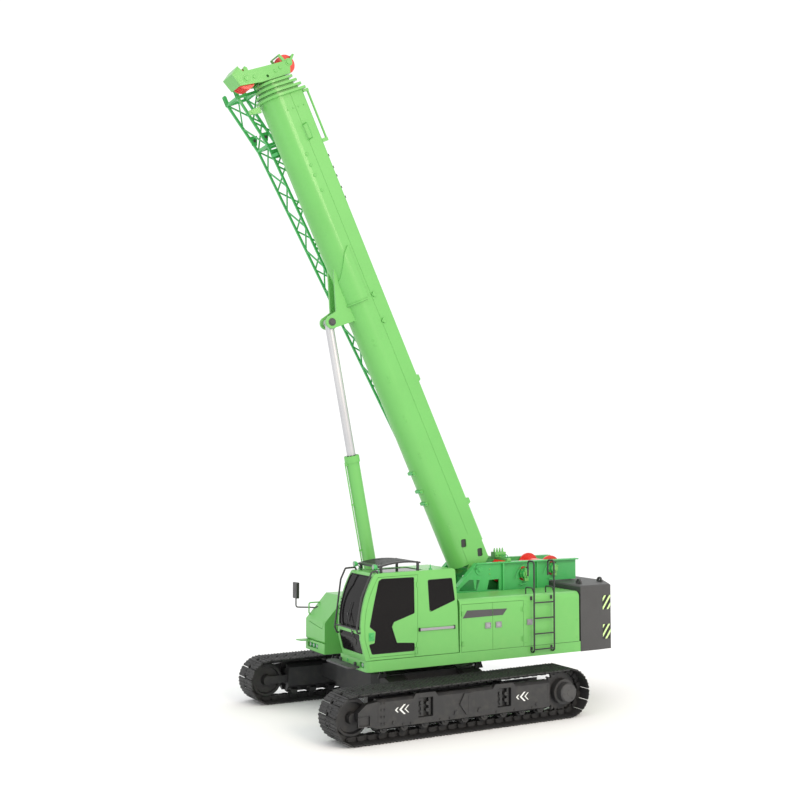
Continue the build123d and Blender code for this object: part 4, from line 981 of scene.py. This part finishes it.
def make_lamps():
    """Work lamps on the roof's front corners and in the deck's front edge."""
    lamp_z = 2.945
    lamps, lenses = Shape(), Shape()
    for y in (0.62, 1.40):
        lamps.tube([(1.42, y, 2.845), (1.42, y, 2.90), (1.47, y, 2.93)], 0.010, 8)
        lamps.turned((1.455, y, lamp_z), X, [(0, 0.03), (0.03, 0.048), (0.075, 0.05)], 20)
        lenses.turned((1.528, y, lamp_z), X, [(0, 0.043), (0.006, 0.040), (0.010, 0.0)], 20)
        lamps.block((1.40, y, 2.853), (0.07, 0.05, 0.012))
    # aerial foot on the roof
    lamps.turned((0.30, 1.36, 2.850), Z, [(0, 0.034), (0.018, 0.030), (0.03, 0.012), (0.09, 0.010)], 16)
    # lamp bodies in the darker green copy of the paint: painted shade
    add_piece("roof_lamps", lamps, *on_upper_green, painted_shade_green, 0.002)
    add_piece("roof_lamp_lenses", lenses, *on_upper_black, lens_clear)

    recess_z = 1.19
    housings, lenses = Shape(), Shape()
    for x, y, width, count in ((1.70, 1.29, 0.17, 1), (1.55, -1.16, 0.50, 3)):
        housings.block((x - 0.052, y, recess_z), (0.014, width - 0.008, 0.092))
        for k in range(count):
            centre = y + (k - (count - 1) / 2) * 0.155
            housings.turned((x - 0.046, centre, recess_z), X, [(0, 0.043), (0.026, 0.044)], 20)
            lenses.turned((x - 0.021, centre, recess_z), X, [(0, 0.038), (0.006, 0.034), (0.009, 0)], 20)
    housings.turned((1.70, 0.716, 1.20), X, [(0, 0.026), (0.008, 0.026), (0.014, 0.018)], 16)
    # lamp housings in the darker green copy of the paint: painted shade
    add_piece("deck_lamps", housings, *on_upper_green, painted_shade_green, 0.001)
    add_piece("deck_lamp_lenses", lenses, *on_upper_black, lens_clear)


def make_console():
    """Armrests with their levers, display and pedals in the cab."""
    lever = [(0, 0.032), (0.03, 0.022), (0.10, 0.012), (0.13, 0.022), (0.19, 0.016)]
    inside = Shape()
    for y in (0.78, 1.275):
        inside.block((0.50, y, 1.84), (0.46, 0.11, 0.10))
        inside.block((0.42, y, 1.60), (0.20, 0.08, 0.46))
        inside.turned((0.66, y, 1.885), Z, lever, 12)
    inside.block((1.52, 0.72, 2.02), (0.05, 0.19, 0.26), along=Vector((1, 0.25, 0)))
    inside.tube([(1.56, 0.70, 1.55), (1.54, 0.71, 1.92)], 0.016, 8)
    for y in (0.93, 1.12):
        inside.block((1.42, y, 1.40), (0.16, 0.09, 0.02), along=Vector((1, 0, 0.5)), up=Vector((-0.5, 0, 1)))
        inside.tube([(1.46, y, 1.33), (1.44, y, 1.40)], 0.012, 6)
    add_piece("cab_console", inside, *on_upper_black, grey_plastic, 0.006)


def cushion_height(s, t, depth, channels):
    """Crown of a cushion's upper side at a place from -1 to 1 each way, drawn in at its channels."""
    edge = (1 - abs(s) ** 5) * (1 - abs(t) ** 5)
    seam = min(abs(s - channel) for channel in channels)
    return depth / 2 * (0.32 + 0.68 * edge ** 0.5) - 0.010 * max(0.0, 1 - seam / 0.09)


def cushion(shape, middle, size, lean, channels):
    """A padded seat piece: a crowned closed form with sewn channels across its face."""
    length, width, depth = size
    rows, columns = 14, 12
    up = Vector((-sin(lean), 0, cos(lean)))
    along = Vector((cos(lean), 0, sin(lean)))
    faces = []
    for top in (True, False):
        grid = []
        for i in range(rows + 1):
            line = []
            for j in range(columns + 1):
                s, t = i / rows * 2 - 1, j / columns * 2 - 1
                # the sides pull in between the corners
                reach = s * length / 2 * (1 - 0.03 * abs(t) ** 6)
                spread = t * width / 2 * (1 - 0.035 * (1 - s ** 2) * abs(t) ** 8)
                if top:
                    height = cushion_height(s, t, depth, channels)
                else:
                    height = -depth * 0.42 * (0.6 + 0.4 * (1 - abs(s) ** 5) * (1 - abs(t) ** 5))
                line.append(shape.skin.verts.new(Vector(middle) + along * reach + Y * spread + up * height))
            grid.append(line)
        faces.append(grid)
        for i in range(rows):
            for j in range(columns):
                shape.skin.faces.new((grid[i][j], grid[i + 1][j], grid[i + 1][j + 1], grid[i][j + 1]))
    top, under = faces
    rim = [(i, 0) for i in range(rows)] + [(rows, j) for j in range(columns)] \
        + [(i, columns) for i in range(rows, 0, -1)] + [(0, j) for j in range(columns, 0, -1)]
    for k, (i, j) in enumerate(rim):
        p, q = rim[(k + 1) % len(rim)]
        shape.skin.faces.new((top[i][j], top[p][q], under[p][q], under[i][j]))


def make_seat():
    """Sprung seat: pan, back and headrest in woven cloth on a metal base."""
    low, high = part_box("cab_seat")
    middle = (low.y + high.y) / 2
    base = Shape()
    for rise, size in ((0.02, (0.44, 0.40, 0.04)), (0.19, (0.34, 0.32, 0.30)), (0.355, (0.48, 0.40, 0.03))):
        base.block((0.38, middle, low.z + rise), size)
    for shift in (-0.14, 0.14):
        base.tube([(0.16, middle + shift, low.z + 0.37), (0.115, middle + shift, low.z + 0.80)], 0.014, 8)
    add_piece("seat_base", base, *on_upper_black, grey_plastic, 0.008)
    upright = radians(-83)
    pan = None
    for name, place, size, lean, channels, fill in (
            ("seat_cushion", (0.42, middle, low.z + 0.44), (0.52, 0.46, 0.13), 0.06, (-0.45, 0.1, 0.6), 0.8),
            ("seat_back", (0.125, middle, low.z + 0.76), (0.56, 0.44, 0.12), upright, (-0.6, -0.1, 0.4), 0.8),
            ("seat_headrest", (0.09, middle, high.z - 0.085), (0.16, 0.27, 0.09), upright, (0.0,), 0.9)):
        form = Shape()
        cushion(form, place, size, lean, channels)
        piece = add_piece(name, form, "superstructure", "seat_cloth", seat_cloth)
        pan = pan or piece
    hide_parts("cab_seat")


def make_deck_trim():
    """Mirror glass and clamp, ladder feet, and the bolts of step, guard and deck."""
    mirror_y, mirror_z = -1.58, 2.25
    glass = Shape()
    glass.block((1.708, mirror_y, mirror_z), (0.006, 0.165, 0.29))
    add_piece("mirror_glass", glass, *on_upper_bright, rod_chrome, 0.002)
    clamp = Shape()
    clamp.block((1.740, mirror_y, mirror_z), (0.066, 0.05, 0.07))
    clamp.turned((1.34, -1.41, 1.875), Z, [(0, 0.028), (0.05, 0.028)], 12)
    add_piece("mirror_clamp", clamp, *on_upper_black, fitting_black, 0.003)
    foot = 0.008
    feet = Shape()
    for x in (-1.90, -2.38):
        for z in (1.225, 2.20):
            feet.block((x, half_width + foot / 2, z), (0.05, foot, 0.075))
            bolt("bolts_ladder", *[(x, half_width + foot, z + lift) for lift in (0.025, -0.025)], facing=Y)
    add_piece("ladder_feet", feet, *on_upper_green, fitting_black, 0.002)
    lay_bolts("bolts_ladder", *on_upper_green, fitting_black, 0.016, 0.008)
    bolt("bolts_step", *[(x, y, 1.15) for x in (1.73, 1.89) for y in (0.26, 0.58, 0.86, 1.14)], facing=Z)
    lay_bolts("bolts_step", "superstructure", "grey_paint", fitting_black, 0.016, 0.006)
    bolt("bolts_guard", *[(x, y, 3.018) for x in (0.62, 0.995, 1.37) for y in (0.615, 1.43)], facing=Z)
    lay_bolts("bolts_guard", *on_upper_black, fitting_black, 0.016, 0.006)
    for _, out in sides:
        bolt("bolts_deck_edge", *[(x, out * half_width, 1.10) for x in (-2.95, -1.5)], facing=Y * out)
    lay_bolts("bolts_deck_edge", *on_upper_green, crane_green, 0.022, 0.01)
    caps = Shape()
    for _, out in sides:
        for x, y in ((-3.96, 1.05), (-3.34, 1.15)):
            caps.turned((x, out * y, 2.373), Z, [(0, 0.058), (0.010, 0.05)], 16)
    add_piece("ballast_lug_pads", caps, "superstructure", "grey_paint", fitting_black, 0.002)


# ---------------------------------------------------------------- winch frame
frame_wall = 0.5
winch_places = ((-2.46, 2.57), (-3.18, 2.65))


def make_pin_keepers(side, out):
    """Keeper and cap of the boom's foot pin, and the link that hangs beside it."""
    face = out * frame_wall
    keepers = Shape()
    keeper = ((-1.47, 2.76), (-1.62, 2.74), (-1.62, 2.56), (-1.56, 2.54), (-1.47, 2.60))
    keepers.prism([(x, face, z) for x, z in keeper], Y * (out * 0.014))
    keepers.turned((boom_pivot.x, out * 0.538, boom_pivot.z), Y * out, [(0, 0.05), (0.008, 0.044)], 20)
    link = ((-1.17, 2.77), (-1.31, 2.77), (-1.256, 2.30), (-1.224, 2.30))
    keepers.prism([(x, face, z) for x, z in link], Y * (out * 0.012))
    keepers.turned((-1.24, face + out * 0.010, 2.72), Y * out, [(0, 0.032), (0.02, 0.028)], 16)
    keepers.turned((-1.24, face + out * 0.010, 2.33), Y * out, [(0, 0.02), (0.012, 0.018)], 12)
    # keepers in the darker green copy of the paint: painted shade
    add_piece(f"pin_keepers_{side}", keepers, *on_upper_green, painted_shade_green, 0.003)
    bolt(f"bolts_frame_{side}", *[(-1.585, face + out * 0.014, z) for z in (2.70, 2.60)], facing=Y * out)


def make_motor_fittings(side, out):
    """Covers, ports and steel pipes of the two winch motors, and the frame's bolts on this side."""
    group = f"bolts_frame_{side}"
    cover, mid, inner = out * 0.57, out * 0.545, out * 0.53
    lid = [(0, 0.078), (0.01, 0.074), (0.012, 0.05), (0.04, 0.046)]
    fittings, pipes = Shape(), Shape()
    for x, z in winch_places:
        bolt(group, *circle((x, out * 0.502, z), Y, 0.103, 8), facing=Y * out)
        fittings.turned((x, cover - out * 0.004, z), Y * out, lid, 20)
        for dx, dz in ((0.05, 0.05), (-0.05, 0.05), (0.0, -0.065)):
            fittings.turned((x + dx, cover - out * 0.002, z + dz), Y * out, [(0, 0.016), (0.032, 0.016)], 6)
        fittings.block((x, mid, z - 0.115), (0.09, 0.05, 0.07))
        fittings.turned((x + 0.02, mid, z + 0.085), Z, [(0, 0.018), (0.035, 0.018)], 6)
        upper = [(x + 0.02, mid, z + 0.11), (x + 0.02, mid, z + 0.16), (x + 0.10, inner, z + 0.16),
                 (x + 0.20, out * 0.52, z + 0.02), (x + 0.24, out * 0.505, z - 0.10)]
        lower = [(x - 0.03, mid, z - 0.14), (x - 0.03, mid, z - 0.20), (x + 0.12, inner, z - 0.22),
                 (x + 0.12, out * 0.49, z - 0.22)]
        for path in (upper, lower):
            pipes.tube(rounded(path, 0.03), 0.010, 8)
    add_piece(f"motor_fittings_{side}", fittings, *on_upper_green, crane_green, 0.002)
    # pipes in the darker green copy of the paint: painted shade
    add_piece(f"motor_pipes_{side}", pipes, *on_upper_green, painted_shade_green)
    bolt(group, *[(x, out * frame_wall, 1.40) for x in (-1.0, -1.5, -1.8)], facing=Y * out)
    lay_bolts(group, *on_upper_green, crane_green, 0.022, 0.012)


def make_valve_block():
    """Valve block for the winches, on a beam across the frame."""
    beam_x, first, pitch = -2.07, -2.18, 0.067
    beam = Shape()
    beam.block((beam_x, 0, 2.865), (0.09, 1.02, 0.05))
    for _, out in sides:
        beam.block((beam_x, out * 0.47, 2.82), (0.11, 0.05, 0.06))
    add_piece("valve_beam", beam, *on_upper_green, crane_green, 0.004)
    spool = [(0, 0.02), (0.05, 0.02), (0.056, 0.012), (0.085, 0.012)]
    block = Shape()
    block.block((-2.08, 0.10, 2.945), (0.26, 0.17, 0.11))
    for k in range(4):
        block.turned((first + k * pitch, 0.10, 2.995), Z, spool, 12)
        block.turned((first + k * pitch, 0.185, 2.94), Y, [(0, 0.015), (0.03, 0.015)], 6)
    add_piece("valve_block", block, *on_upper_green, crane_green, 0.003)
    pipes = Shape()
    for k in range(3):
        pipes.tube(rounded([(first + k * pitch, 0.205, 2.94), (first + k * pitch, 0.27, 2.94),
                            (-2.16 + k * 0.05, 0.33, 2.90), (-2.14 + k * 0.03, 0.42, 2.905)], 0.03), 0.009, 8)
    # pipes in the darker green copy of the paint: painted shade
    add_piece("valve_pipes", pipes, *on_upper_green, painted_shade_green)


# ---------------------------------------------------------------- boom
on_base = ("boom", "green_paint")
on_head = ("boom_section_5", "green_paint")
top_line = boom_half - 0.04


def plate_on_boom(shape, corners, across, thick):
    """A plate cut to places (along, above), standing at a distance across the boom."""
    shape.prism([on_boom(u, across, v) for u, v in corners], Y * thick)


def box_on_boom(shape, along, across, above, size):
    shape.block(on_boom(along, across, above), size, along=boom_dir, up=boom_up)


def make_boom_bosses():
    """Guide-pad bosses, adjusting screws, seam brackets and top lugs of the base section."""
    pads = Shape()
    boss = [(0, 0.034), (0.008, 0.034), (0.011, 0.024), (0.018, 0.022)]
    for _, out in sides:
        for u, v in ((8.833, 0.0), (8.615, -0.01), (8.414, -0.01), (8.106, 0.007), (6.135, 0.011)):
            pads.turned(on_boom(u, out * (boom_half - skin_gap), v), Y * out, boss, 16)
        # pairs of screws on the round shell, square to it
        lean = 0.15 / boom_half
        normal = Y * (out * sqrt(1 - lean ** 2)) - boom_up * lean
        for u in (5.075, 4.970, 4.274, 4.186, 3.44, 3.35, 2.64, 2.55, 1.84, 1.75, 1.04, 0.95):
            pads.turned(on_boom(u, 0, bend_centre) + normal * (boom_half - 0.002), normal,
                        [(0, 0.020), (0.010, 0.018)], 12)
        for u, v, length in ((5.892, 0.211, 0.10), (5.349, 0.201, 0.10), (6.033, 0.06, 0.07)):
            box_on_boom(pads, u, out * (boom_half + 0.015), v, (length, 0.036, 0.05))
            box_on_boom(pads, u, out * (boom_half + 0.020), v - 0.036, (length * 0.5, 0.02, 0.03))
        for u, v in ((4.019, 0.475), (1.302, 0.49)):
            plate_on_boom(pads, [(u - 0.08, boom_top - 0.01), (u - 0.05, v + 0.02), (u + 0.05, v + 0.02),
                                 (u + 0.08, boom_top - 0.01)], out * (boom_half - 0.06), out * 0.03)
    add_piece("boom_bosses", pads, *on_base, crane_green, 0.003)


def make_boom_foot():
    """Round heel under the foot plates, and black plates in the plates' windows: painted shade standing in
    for the hollow boom behind them.
    """
    front, rear, wall = 0.452, 0.14, 0.012
    arc = [radians(180 + 180 * k / 24) for k in range(25)]
    outline = [on_boom(rear, cos(a) * radius, sin(a) * radius + bend_centre)
               for radius, run in ((boom_half - skin_gap, arc), (boom_half - wall, arc[::-1])) for a in run]
    heel = Shape()
    heel.prism(outline, boom_dir * (front - rear))
    add_piece("boom_heel", heel, *on_base, crane_green)
    tilt = radians(20)
    along = boom_dir * cos(tilt) + boom_up * sin(tilt)
    upright = boom_up * cos(tilt) - boom_dir * sin(tilt)
    # black plates in the windows where the boom behind is hollow: painted shade
    covers = Shape()
    for u, v in ((0.58, -0.01), (0.24, 0.26)):
        for _, out in sides:
            covers.block(on_boom(u, out * (boom_half - 0.03), v), (0.20, 0.012, 0.15),
                         along=along, up=upright)
    add_piece("foot_covers", covers, *on_base, fitting_black)


def make_boom_rails():
    """Pads and cable tube along the top edge, and the handle on the left side."""
    bumps = Shape()
    for u in (8.68, 8.44, 8.27, 8.03, 7.83):
        for _, out in sides:
            box_on_boom(bumps, u, out * (boom_half - 0.05), boom_top + 0.008, (0.05, 0.04, 0.022))
    add_piece("boom_top_pads", bumps, *on_base, fitting_black, 0.003)

    foot, grip = boom_half - 0.01, boom_half + 0.15
    rail = Shape()
    rail.tube(rounded([on_boom(u, across, 0.18) for u, across in
                       ((9.08, foot), (9.08, grip), (9.38, grip), (9.38, foot))], 0.04), 0.013)
    rail.tube(rounded([on_boom(u, top_line, v) for u, v in
                       ((8.98, 0.46), (8.98, 0.53), (9.04, 0.55), (10.0, 0.55))], 0.03), 0.021)
    box_on_boom(rail, 8.98, top_line, 0.50, (0.07, 0.06, 0.13))
    box_on_boom(rail, 9.97, top_line, 0.51, (0.05, 0.05, 0.12))
    add_piece("boom_handle_and_pipe", rail, *on_base, crane_green)


def make_boom_underside():
    """Lug at the collar and the rope rollers with their cheeks."""
    stations = (2.28, 1.88, 1.61)
    cheek = ((-0.05, -0.28), (0.05, -0.28), (0.03, -0.375), (-0.03, -0.375))
    lower = Shape()
    plate_on_boom(lower, [(9.86, -0.40), (9.98, -0.40), (9.97, -0.64), (9.89, -0.64)], -0.03, 0.06)
    lower.turned(on_boom(9.93, -0.045, -0.585), Y, [(0, 0.03), (0.09, 0.03)], 16)
    for u in stations:
        for across in (-0.11, 0.085):
            plate_on_boom(lower, [(u + reach, v) for reach, v in cheek], across, 0.025)
    add_piece("boom_lower_lugs", lower, *on_base, crane_green, 0.003)
    rollers = Shape()
    for u in stations:
        rollers.turned(on_boom(u, -0.13, -0.355), Y, [(0, 0.014), (0.02, 0.014), (0.05, 0.014)], 10)
        rollers.turned(on_boom(u, -0.08, -0.350), Y, [(0, 0.036), (0.16, 0.036)], 18)
        rollers.turned(on_boom(u, 0.08, -0.355), Y, [(0, 0.014), (0.045, 0.014)], 10)
    # rollers in the darker green copy of the paint: painted shade
    add_piece("boom_under_rollers", rollers, *on_base, painted_shade_green, 0.002)


def make_boom_pins():
    """Rest for the jib, caps of the luffing cylinder's eye pin, and the base section's bolts."""
    wing = Shape()
    plate_on_boom(wing, [(5.77, -0.44), (5.70, -0.27), (5.60, -0.30), (5.52, -0.47), (5.62, -0.50)],
                  -0.50, 0.02)
    wing.turned(on_boom(5.66, -0.505, -0.40), Y, [(0, 0.03), (0.16, 0.03)], 14)
    add_piece("jib_rest_fitting", wing, *on_base, crane_green, 0.003)

    cap = [(0, 0.075), (0.012, 0.075), (0.018, 0.055), (0.030, 0.052)]
    eye = Shape()
    for _, out in sides:
        eye.turned(on_boom(5.715, out * 0.154, -0.772), Y * out, cap, 20)
    add_piece("eye_pin_caps", eye, *on_base, hub_grey, 0.002)
    for _, out in sides:
        bolt("bolts_boom", *circle(on_boom(0, out * boom_half, 0), Y, 0.09, 6), facing=Y * out)
        for u in (10.02, 9.72):
            bolt("bolts_boom", *[on_boom(u, out * boom_half, v) for v in (-0.02, 0.10, 0.22, 0.34)],
                 facing=Y * out)
    lay_bolts("bolts_boom", *on_base, crane_green, 0.022, 0.012)


def make_jib_trim():
    """Gusset plates on the stowed jib's far and near lower chords, a box and two pins."""
    gussets = Shape()
    for across, thick, corners in (
            (-0.965, 0.02, [(9.622, -0.346), (9.602, -0.202), (9.417, -0.284), (9.448, -0.387)]),
            (-0.455, 0.02, [(9.56, -0.33), (9.55, -0.18), (9.38, -0.28), (9.41, -0.36)]),
            (-0.47, 0.05, [(9.20, -0.29), (9.19, -0.07), (9.01, -0.15), (9.03, -0.33)])):
        plate_on_boom(gussets, corners, across, thick)
    # gussets in the darker green copy of the paint: painted shade
    add_piece("jib_gussets", gussets, *on_base, painted_shade_green, 0.003)
    pins = Shape()
    for u, across, v in ((9.522, -0.985, -0.295), (9.47, -0.475, -0.29)):
        pins.turned(on_boom(u, across, v), Y, [(0, 0.026), (0.012, 0.03), (0.05, 0.03)], 14)
    add_piece("jib_pins", pins, *on_base, hub_grey, 0.002)


def make_head_trim():
    """Axle caps, bosses and rope keepers of the boom head; they ride on the last section."""
    cheek, inside = 0.199, 0.2
    cap = [(0, 0.07), (0.012, 0.07), (0.016, 0.05), (0.034, 0.046)]
    head = Shape()
    for _, out in sides:
        for u, v in ((10.51, -0.52), (10.57, 0.44)):
            head.turned(on_boom(u, out * cheek, v), Y * out, cap, 20)
            bolt("bolts_head", *circle(on_boom(u, out * 0.211, v), Y, 0.058, 6), facing=Y * out)
        for u, v in ((10.49, 0.10), (10.50, -0.36), (10.52, 0.22)):
            head.turned(on_boom(u, out * 0.212, v), Y * out, [(0, 0.034), (0.014, 0.030)], 14)
    add_piece("head_pin_caps", head, *on_head, crane_green, 0.002)
    lay_bolts("bolts_head", *on_head, crane_green, 0.016, 0.008)
    keepers = Shape()
    for u, v in ((10.71, -0.46), (10.75, 0.31), (10.68, 0.59)):
        keepers.turned(on_boom(u, -0.205, v), Y, [(0, 0.016), (0.41, 0.016)], 12)
    add_piece("rope_keepers", keepers, *on_head, crane_green)
    lugs = Shape()
    for across in (-inside, 0.176):
        for corners in ([(10.60, -0.42), (10.70, -0.42), (10.74, -0.46), (10.72, -0.50), (10.60, -0.52)],
                        [(10.60, 0.34), (10.74, 0.285), (10.77, 0.325), (10.62, 0.40)],
                        [(10.58, 0.52), (10.61, 0.48), (10.70, 0.58), (10.68, 0.62)]):
            plate_on_boom(lugs, corners, across, 0.024)
    add_piece("keeper_plates", lugs, *on_head, crane_green, 0.003)


# ---------------------------------------------------------------- luffing cylinder
def make_cylinder_trim():
    """Gland bolts, scraper and the steel pipe along the barrel; caps on its foot pin."""
    on_barrel = ("cylinder_barrel", "green_paint")
    gland, length, pipe_depth = 0.128, 3.64, -0.165
    bolt("bolts_gland", *circle(on_cylinder(length, 0, 0), cylinder_dir, gland, 12), facing=cylinder_dir)
    lay_bolts("bolts_gland", *on_barrel, crane_green, 0.020, 0.014)
    pipe = Shape()
    pipe.tube(rounded([on_cylinder(along, 0, depth) for along, depth in
                       ((0.42, -0.12), (0.42, pipe_depth), (3.5, pipe_depth), (3.5, -0.12))], 0.03), 0.012)
    for along, depth, size in ((0.9, -0.148, (0.035, 0.05, 0.05)), (1.8, -0.148, (0.035, 0.05, 0.05)),
                               (2.7, -0.148, (0.035, 0.05, 0.05)), (0.42, -0.135, (0.09, 0.09, 0.05)),
                               (3.5, -0.14, (0.07, 0.07, 0.04))):
        pipe.block(on_cylinder(along, 0, depth), size, along=cylinder_dir, up=cylinder_up)
    add_piece("barrel_pipe", pipe, *on_barrel, crane_green, 0.002)
    scraper = Shape()
    scraper.turned(on_cylinder(length - 0.004, 0, 0), cylinder_dir, [(0, 0.104), (0.016, 0.098)], 32)
    add_piece("rod_scraper", scraper, *on_barrel, black_rubber)
    caps = Shape()
    for _, out in sides:
        caps.turned(on_cylinder(0, out * 0.208, 0), Y * out, [(0, 0.05), (0.010, 0.044)], 18)
    add_piece("foot_pin_caps", caps, *on_upper_green, hub_grey, 0.002)


for side, out in sides:
    make_door_trim(side, out, "front", -0.888, hood_high.x - 0.036,
                   [(-0.42, 2.056), (-0.994, 2.0465), (-0.994, 1.9195), (-0.323, 1.912)])
    make_door_trim(side, out, "rear", -1.131, -1.714,
                   [(-1.006, 2.0463), (-1.334, 2.039), (-1.233, 1.922), (-1.006, 1.9194)])
    make_hood_side_trim(side, out)
make_slide_bar()
make_gaskets()
make_wiper()
make_cab_door_fittings()
make_lamps()
make_console()
make_seat()
make_deck_trim()
for side, out in sides:
    make_pin_keepers(side, out)
    make_motor_fittings(side, out)
make_valve_block()
make_boom_bosses()
make_boom_foot()
make_boom_rails()
make_boom_underside()
make_boom_pins()
make_jib_trim()
make_head_trim()
make_cylinder_trim()

# ---------------------------------------------------------------- studio
floor_mesh = bpy.data.meshes.new("studio_floor")
reach = 90
floor_mesh.from_pydata([(-reach, -reach, 0), (reach, -reach, 0), (reach, reach, 0), (-reach, reach, 0)],
                       [], [(0, 1, 2, 3)])
floor = bpy.data.objects.new("studio_floor", floor_mesh)
bpy.context.collection.objects.link(floor)
floor_finish = Finish("studio_floor")
floor_finish.feed("Base Color", floor_finish.blend(floor_finish.noise(0.4, 2.0) * 0.2,
                                                   colour(250, 250, 250), colour(247, 247, 247)))
floor_finish.feed("Roughness", floor_finish.noise(3.0, 2.0) * 0.1 + 0.8)
floor_mesh.materials.append(floor_finish.material)

world = bpy.data.worlds.new("studio")
bpy.context.scene.world = world
world.use_nodes = True
sky = world.node_tree.nodes["Background"].inputs
sky["Color"].default_value = (1.0, 1.0, 1.0, 1.0)
sky["Strength"].default_value = 1.1


def soft_light(name, place, target, size, power, shade):
    lamp = bpy.data.lights.new(name, "AREA")
    lamp.size = size
    lamp.energy = power
    lamp.color = shade
    lamp_object = bpy.data.objects.new(name, lamp)
    lamp_object.location = place
    lamp_object.rotation_euler = (Vector(target) - Vector(place)).to_track_quat("-Z", "Y").to_euler()
    bpy.context.collection.objects.link(lamp_object)


crane_middle = (0, 0, 5)
soft_light("key", (-2, 26, 16), crane_middle, 10, 2900, (1.0, 0.86, 0.66))
soft_light("front_fill", (24, 10, 9), crane_middle, 12, 300, (0.9, 1.0, 0.95))
soft_light("back_rim", (-14, -20, 16), crane_middle, 12, 300, (0.9, 1.0, 0.95))
